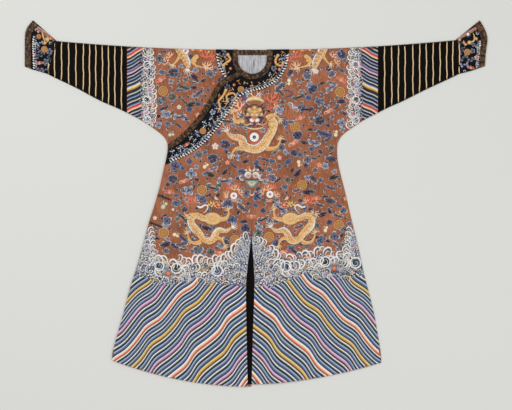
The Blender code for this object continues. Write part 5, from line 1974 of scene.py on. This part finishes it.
def make_cuff(side):
    """A small dragon, clouds, a bat and a border of waves on one cuff."""
    node = "cuff_" + side
    work = Needlework()
    work.stroke(np.array(CUFF_TOP[side]) + (0, 3), 4.5,
                "wine blush mauve brick tan wine", even, 0.8, 20)
    work.stroke(np.array(CUFF_TOP[side]) - (0, 6), 1.4, "amber honey amber", even, 0.8, 20)
    if side == "right":
        arms = (((-889, 722), (-887, 704), (-880, 680), (-872, 666)),
                ((-872, 666), (-862, 676), (-864, 692), (-872, 698)))
        balls = ((-868, 682, 11, "tan"), (-877, 666, 9, "tan"), (-854, 684, 6, "coral"),
                 (-904, 712, 6, "mauve"))
        work.dot((-901.6, 692.7), 12.5, "umber tan honey", 14, rise=1.4)
        work.dot((-901.6, 692.7), 6, "bronze brick red", 10, rise=2.2)
        work.dot((-879, 701), 7, "moss pine", 9, 1.3, 20, 1.0)
    else:
        arms = (((897, 712), (904, 694), (903, 676), (886, 668), (871, 657)),
                ((871, 657), (862, 664), (860, 678)))
        balls = ((843, 680, 8, "tan"), (912, 684, 8, "tan"), (884, 668, 9, "honey"),
                 (868, 660, 7, "coral"))
        work.dot((878, 702), 13, "pine moss pine", 14, rise=0.8)
        work.dot((878, 702), 8, "mist white white", 12, rise=1.6)
    for path in arms:
        work.stroke(path, 5.5, "umber", leaf, 0.6)
        work.stroke(path, 4.2, "bronze honey wheat tan bronze", leaf, 1.8)
    for x, y, radius, tone in balls:
        work.dot((x, y), radius, ("umber", tone, "honey", "wheat"), 12, rise=1.6)
    rows = numbered(CUFF_MOTIFS[side])
    rng = random.Random(SEED + 9)
    outline = outline_of(node)
    taken = [(x, y, 13) for _, x, y, _, _ in rows]
    taken += [(x, y, radius + 5) for x, y, radius, _ in balls]
    edge, *spread = CUFF_FILLING
    for x, y in free_places(rng, lambda spots: inside(outline, spots) & (
            distance_to(outline, spots) > edge), taken, *spread):
        rows.append((kit["kinds"][rng.choice(("seeds", "seeds", "scroll dark"))], x, y,
                     rng.uniform(0, 360), rng.uniform(0.7, 0.95)))
    fringe(work, smooth(CUFF_FRINGE[side], 30), 1 if side == "right" else -1, (0, 4.5, 9))
    lay("cuff_figures_" + side, work, kit[node], GILT_THREAD)
    lay("cuff_clouds_" + side, rows, kit[node])


def nearest_on(outline, points):
    """The nearest point of a closed line to each point."""
    found = []
    for point in points:
        near = onto_edge(outline, point)
        found.append(near[np.linalg.norm(near - point, axis=1).argmin()])
    return np.array(found)


def collar_dragon(work, path, half):
    """A small gold dragon twisting along the collar."""
    work.stroke(path, half + 1.2, "umber", serpent, 0.5)
    line = work.stroke(path, half, "rust honey apricot honey rust", serpent, 1.8)
    for i in range(3, len(line) - 2, 4):
        tip = line[i] + np.array((7, -5)) * (1 if i % 8 == 3 else -1)
        work.stroke((line[i], tip), 1.8, "tan cream", comma, 1.2, 4)
    work.dot(line[0], half * 1.6, "umber honey wheat", 12, rise=2.2)
    work.dot(line[0] + (1, 2), half * 0.5, "white night", 8, rise=2.6)


def make_collar():
    """Dragons, clouds and a wave border on the dark collar."""
    rng = random.Random(SEED + 5)
    nodes = ("collar_band", "collar_band_right")
    collar = as_object("collar", joined(nodes))
    work = Needlework()
    rows = numbered(COLLAR_MOTIFS)
    outlines = [outline_of(node) for node in nodes]
    for path, way, outline in zip(COLLAR_EDGES, (1, -1), (outlines[1], outlines[0])):
        count = int(run_of(np.array(path))[-1] / 6)
        snapped = nearest_on(outline, smooth(path, count))
        fringe(work, smooth(snapped[::2], count), way, (1.2, 7, 13))
    for path, half in (
            (((-126, 470), (-138, 446), (-156, 424), (-150, 400), (-160, 376)), 5),
            (((-120, 424), (-122, 448), (-96, 458), (-84, 440), (-98, 426)), 4.5),
            (((-118, 618), (-108, 598), (-124, 584), (-138, 572), (-134, 556)), 5),
            (((90, 614), (80, 596), (84, 578), (104, 572), (112, 590)), 5)):
        collar_dragon(work, path, half)
    lay("collar_figures", work, collar, GILT_THREAD)
    edge, *spread = COLLAR_FILLING
    taken = [(x, y, 20) for x, y, *_ in COLLAR_MOTIFS]
    taken += [(x, y, 11) for x, y in (
        (-138, 446), (-156, 424), (-150, 400), (-160, 376), (-120, 440), (-96, 458),
        (-90, 436), (-118, 618), (-108, 598), (-124, 584), (-138, 565), (90, 614), (82, 590),
        (104, 576))]

    def free(spots):
        return np.any([inside(outline, spots) & (distance_to(outline, spots) > edge)
                       for outline in outlines], axis=0)

    clouds = [word for word in kit["kinds"] if word.startswith("cloud") and word[-1] in "0134"]
    gold = ("scroll", "scroll dark")
    for x, y in free_places(rng, free, taken, *spread):
        near = rng.random() < (0.55 if y > 400 else 0.15)
        kind = rng.choice(gold if near else ("seeds", "seeds", rng.choice(clouds)))
        rows.append((kit["kinds"][kind] + rng.choice((0, 1)), x, y, rng.uniform(0, 360),
                     rng.uniform(0.8, 1.0) if kind[0] == "s" else rng.uniform(0.5, 0.6)))
    lay("collar_clouds", rows, collar)
    bpy.data.objects.remove(collar)


# ---------------------------------------------------------------- loops, buttons and sewing

STRAND = 1.9  # radius of one of the three strands of a loop, in millimetres
STRAND_OFFSET = 1.7
CORD_PITCH = 9.0  # length of one full twist


def cord_tree():
    """Three strands twisted about a straight line between two points."""
    tree, given, geo = new_tree("Twisted cord", (
        ("Start", "Vector"), ("End", "Vector"), ("Turns", "Float"), ("Strand", "Float"),
        ("Offset", "Float"), ("Finish", "Material")))

    def vectors(operation, inputs):
        return add_node(tree, "ShaderNodeVectorMath", inputs, operation=operation).outputs[0]

    line = geo("CurvePrimitiveLine", {"Start": given["Start"], "End": given["End"]})
    fine = geo("ResampleCurve", {"Curve": line[0], "Count": 90})
    three = geo("DuplicateElements", {"Geometry": fine[0], "Amount": 3}, domain="SPLINE")
    start = maths(tree, "MULTIPLY", three["Duplicate Index"], math.tau / 3)
    turn = maths(tree, "MULTIPLY_ADD", geo("SplineParameter")["Factor"],
                 maths(tree, "MULTIPLY", given["Turns"], math.tau), start)
    beside = vectors("CROSS_PRODUCT", {0: geo("InputTangent")[0], 1: (0, 0, 1)})
    sideways = vectors("SCALE", {0: beside, "Scale": maths(tree, "COSINE", turn)})
    both = vectors("ADD", {0: sideways, 1: upright(tree, maths(tree, "SINE", turn))})
    wound = geo("SetPosition", {
        "Geometry": three[0],
        "Offset": vectors("SCALE", {0: both, "Scale": given["Offset"]})})
    ring = geo("CurvePrimitiveCircle", {"Resolution": 8, "Radius": given["Strand"]})
    solid = geo("CurveToMesh", {"Curve": wound[0], "Profile Curve": ring[0], "Fill Caps": True})
    shaded = geo("SetShadeSmooth", {"Geometry": solid[0]})
    return close_tree(tree, geo, shaded[0], given["Finish"])


def ends_of(node):
    """Middles of the two ends of a straight cord."""
    verts = np.array([vert.co[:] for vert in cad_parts[node].data.vertices])
    middle = verts.mean(0)
    axis = np.linalg.svd(verts - middle)[2][0]
    place = (verts - middle) @ axis
    return [Vector(verts[near].mean(0)) for near in (
        place < place.min() + 1e-4, place > place.max() - 1e-4)]


def make_loop(name, node, tree):
    """One side loop: three twisted strands in place of its solid."""
    start, end = ends_of(node)
    obj = bpy.data.objects.new(name, bpy.data.meshes.new(name))
    bpy.context.scene.collection.objects.link(obj)
    run_nodes(obj, tree, {
        "Start": start, "End": end, "Turns": (end - start).length / (CORD_PITCH * MM),
        "Strand": STRAND * MM, "Offset": STRAND_OFFSET * MM,
        "Finish": kit["finish"]["Twisted silk cord"]})
    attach(obj, "root")
    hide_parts(node)
    return obj


STITCH_INSET, STITCH_STEP = 3.0, 11.0  # from the cloth's edge, and from one to the next


def make_stitches(node, name):
    """Running stitches along the edge of a cloth."""
    outline = np.array(outline_of(node))
    if area_of(outline) < 0:
        outline = outline[::-1]
    closed = np.vstack([outline, outline[:1]])
    run = run_of(closed)
    line = along_path(closed, run, np.arange(0, run[-1] - STITCH_STEP, STITCH_STEP))
    rows = []
    for place, left, way in zip(line, *headings(line)):
        x, y = place + left * STITCH_INSET
        rows.append((kit["kinds"]["stitch"], x, y, math.degrees(math.atan2(way[1], way[0])), 1.0))
    held = inside(outline, np.array([row[1:3] for row in rows]))
    return lay(name, [row for row, keep in zip(rows, held) if keep], kit[node])


# ---------------------------------------------------------------- stage

CAMERA_HEIGHT = 8.0
PIXEL = 4.15  # millimetres of the robe to one pixel of the frame
AIM = (-1.0, -6.2)  # what the camera looks at, in millimetres
FLOOR_SIZE = 12.0
FLOOR_DROP = 0.0004  # keeps the floor just under the cloth
SENSOR = 36.0  # width of the camera's sensor, in millimetres
WORLD_LIGHT = 0.5
LIGHTS = (
    # name, place, size, watts
    ("key", (-2.4, 1.8, 4.6), 3.0, 98.0),
    ("fill", (2.8, -1.6, 4.6), 4.0, 75.0),
)


class ROBE_OT_stage(bpy.types.Operator):
    """Makes the camera over the robe, the floor and the soft studio light."""

    bl_idname = "robe.stage"
    bl_label = "Camera, floor and light"

    def execute(self, context):
        scene = context.scene
        camera = bpy.data.cameras.new("camera")
        camera.sensor_width = SENSOR
        camera.lens = SENSOR * CAMERA_HEIGHT / (IMAGE[0] * PIXEL * MM)
        camera.clip_end = 50.0
        eye = bpy.data.objects.new("camera", camera)
        eye.location = (AIM[0] * MM, AIM[1] * MM, CAMERA_HEIGHT)
        scene.collection.objects.link(eye)
        scene.camera = eye
        scene.view_settings.view_transform = "Standard"

        mesh = bpy.data.meshes.new("floor")
        half = FLOOR_SIZE / 2
        mesh.from_pydata([(-half, -half, 0), (half, -half, 0), (half, half, 0),
                          (-half, half, 0)], [], [(0, 1, 2, 3)])
        floor = bpy.data.objects.new("floor", mesh)
        floor.location.z = -FLOOR_DROP
        scene.collection.objects.link(floor)
        # Matt painted board: even and pale
        board, _, shader = new_material("Matt painted board", Roughness=0.9)
        shader.inputs["Base Color"].default_value = (*scene.robe_colours.floor, 1)
        shader.inputs["Specular IOR Level"].default_value = 0.2
        mesh.materials.append(board)

        for name, place, size, watts in LIGHTS:
            lamp = bpy.data.lights.new(name, "AREA")
            lamp.energy = watts
            lamp.size = size
            light = bpy.data.objects.new(name, lamp)
            light.location = place
            light.rotation_euler = (-Vector(place)).to_track_quat("-Z", "Y").to_euler()
            scene.collection.objects.link(light)
        world = bpy.data.worlds.new("studio")
        world.use_nodes = True
        world.node_tree.nodes["Background"].inputs["Color"].default_value = (1, 1, 1, 1)
        world.node_tree.nodes["Background"].inputs["Strength"].default_value = WORLD_LIGHT
        scene.world = world
        return {"FINISHED"}


class ROBE_OT_cloths(bpy.types.Operator):
    """Makes every cloth of the robe as a fine shell over its solid."""

    bl_idname = "robe.cloths"
    bl_label = "Cloths"

    def execute(self, context):
        kit["finish"] = make_materials(context.scene.robe_sizes, context.scene.robe_colours)
        kit["laying"] = laying_tree()
        kit["shelf"], kit["kinds"] = make_motifs()
        for node, finish, slot, level, rests_on in CLOTHS:
            cloth = shell(node + "_silk", node, level)
            cloth.data.materials.clear()
            cloth.data.materials.append(kit["finish"][finish])
            declare_cloth(cloth, node)
            kit[node] = cloth
        kit["front"] = whole_front()
        return {"FINISHED"}


class ROBE_OT_hem(bpy.types.Operator):
    """Embroiders the wavy stripes and the breaking waves over the hem of both fronts."""

    bl_idname = "robe.hem"
    bl_label = "Hem stripes and waves"

    def execute(self, context):
        for side, node, word in ((RIGHT, "overlap", "right"), (LEFT, "front_left", "left")):
            make_hem_stripes(side, node, "hem_stripes_" + word)
            make_hem_waves(side, node, "hem_waves_" + word)
        return {"FINISHED"}


class ROBE_OT_sleeve_ends(bpy.types.Operator):
    """Embroiders the stripes and waves at the ends of the robe's own sleeves."""

    bl_idname = "robe.sleeve_ends"
    bl_label = "Sleeve stripes and waves"

    def execute(self, context):
        for side, node, word in ((RIGHT, "under_front", "right"), (LEFT, "front_left", "left")):
            make_sleeve_stripes(side, node, "sleeve_stripes_" + word)
            make_sleeve_waves(side, node, "sleeve_waves_" + word)
        return {"FINISHED"}


class ROBE_OT_dragons(bpy.types.Operator):
    """Embroiders the five dragons of the front and the emblem between them."""

    bl_idname = "robe.dragons"
    bl_label = "Dragons"

    def execute(self, context):
        front = kit["front"]
        for name, draw, details in (
                ("dragon_chest", chest_dragon, ()),
                ("dragon_lower_right", lower_dragon, (RIGHT,)),
                ("dragon_lower_left", lower_dragon, (LEFT,)),
                ("dragon_shoulder_right", shoulder_dragon, (RIGHT,)),
                ("dragon_shoulder_left", shoulder_dragon, (LEFT,)),
                ("emblem", emblem, ())):
            work = Needlework()
            draw(work, *details)
            lay(name, work, front, GILT_THREAD)
        return {"FINISHED"}


class ROBE_OT_field(bpy.types.Operator):
    """Scatters clouds, bats, roundels and fruit over the brown ground."""

    bl_idname = "robe.field"
    bl_label = "Clouds and small motifs"

    def execute(self, context):
        collar = ["collar_band", "collar_binding"]
        make_seam_motifs("seam_motifs")
        make_field("overlap", "field_right", collar, SEED + 1)
        make_field("front_left", "field_left", collar, SEED + 2)
        make_field("under_front", "field_shoulder", collar + [
            "overlap", "collar_band_right", "collar_binding_right"], SEED + 3)
        return {"FINISHED"}


class ROBE_OT_sleeves(bpy.types.Operator):
    """Couches the gold lines down the sleeves and embroiders the cuffs."""

    bl_idname = "robe.sleeves"
    bl_label = "Gold lines and cuffs"

    def execute(self, context):
        for side in ("right", "left"):
            make_couched(side)
            make_cuff(side)
        return {"FINISHED"}


class ROBE_OT_collar(bpy.types.Operator):
    """Embroiders the dark collar."""

    bl_idname = "robe.collar"
    bl_label = "Collar"

    def execute(self, context):
        make_collar()
        return {"FINISHED"}


class ROBE_OT_fastenings(bpy.types.Operator):
    """Twists the two loops, gilds the buttons and sews the edges."""

    bl_idname = "robe.fastenings"
    bl_label = "Loops, buttons and sewing"

    def execute(self, context):
        tree = cord_tree()
        for word in ("waist", "hip"):
            make_loop("cord_loop_" + word, "loop_" + word, tree)
            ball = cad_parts["button_" + word].data
            ball.materials.clear()
            ball.materials.append(kit["finish"]["Gilt cast brass"])
        for node, slot in (("overlap", "brown_silk"), ("front_left", "brown_silk"),
                           ("sleeve_right", "black_silk"), ("sleeve_left", "black_silk")):
            make_stitches(node, "stitches_" + node)
        return {"FINISHED"}


STEPS = (ROBE_OT_stage, ROBE_OT_cloths, ROBE_OT_hem, ROBE_OT_sleeve_ends, ROBE_OT_dragons,
         ROBE_OT_field, ROBE_OT_sleeves, ROBE_OT_collar, ROBE_OT_fastenings)


class ROBE_PT_panel(bpy.types.Panel):
    """Lists the robe's sizes, colours and steps."""

    bl_label = "Dragon robe"
    bl_space_type = "VIEW_3D"
    bl_region_type = "UI"
    bl_category = "Robe"

    def draw(self, context):
        for group in (context.scene.robe_sizes, context.scene.robe_colours):
            for name in group.__annotations__:
                self.layout.prop(group, name)
        for step in STEPS:
            self.layout.operator(step.bl_idname)


CLASSES = (RobeSizes, RobeColours) + STEPS + (ROBE_PT_panel,)


def register():
    """Adds the classes and the robe's settings."""
    for each in CLASSES:
        bpy.utils.register_class(each)
    bpy.types.Scene.robe_sizes = bpy.props.PointerProperty(type=RobeSizes)
    bpy.types.Scene.robe_colours = bpy.props.PointerProperty(type=RobeColours)


def unregister():
    """Takes them away again."""
    del bpy.types.Scene.robe_colours
    del bpy.types.Scene.robe_sizes
    for each in reversed(CLASSES):
        bpy.utils.unregister_class(each)


def main():
    """Dresses the robe step by step."""
    register()
    for step in STEPS:
        group, name = step.bl_idname.split(".")
        getattr(getattr(bpy.ops, group), name)()
    bpy.data.objects.remove(kit["front"])


if __name__ == "__main__":
    main()
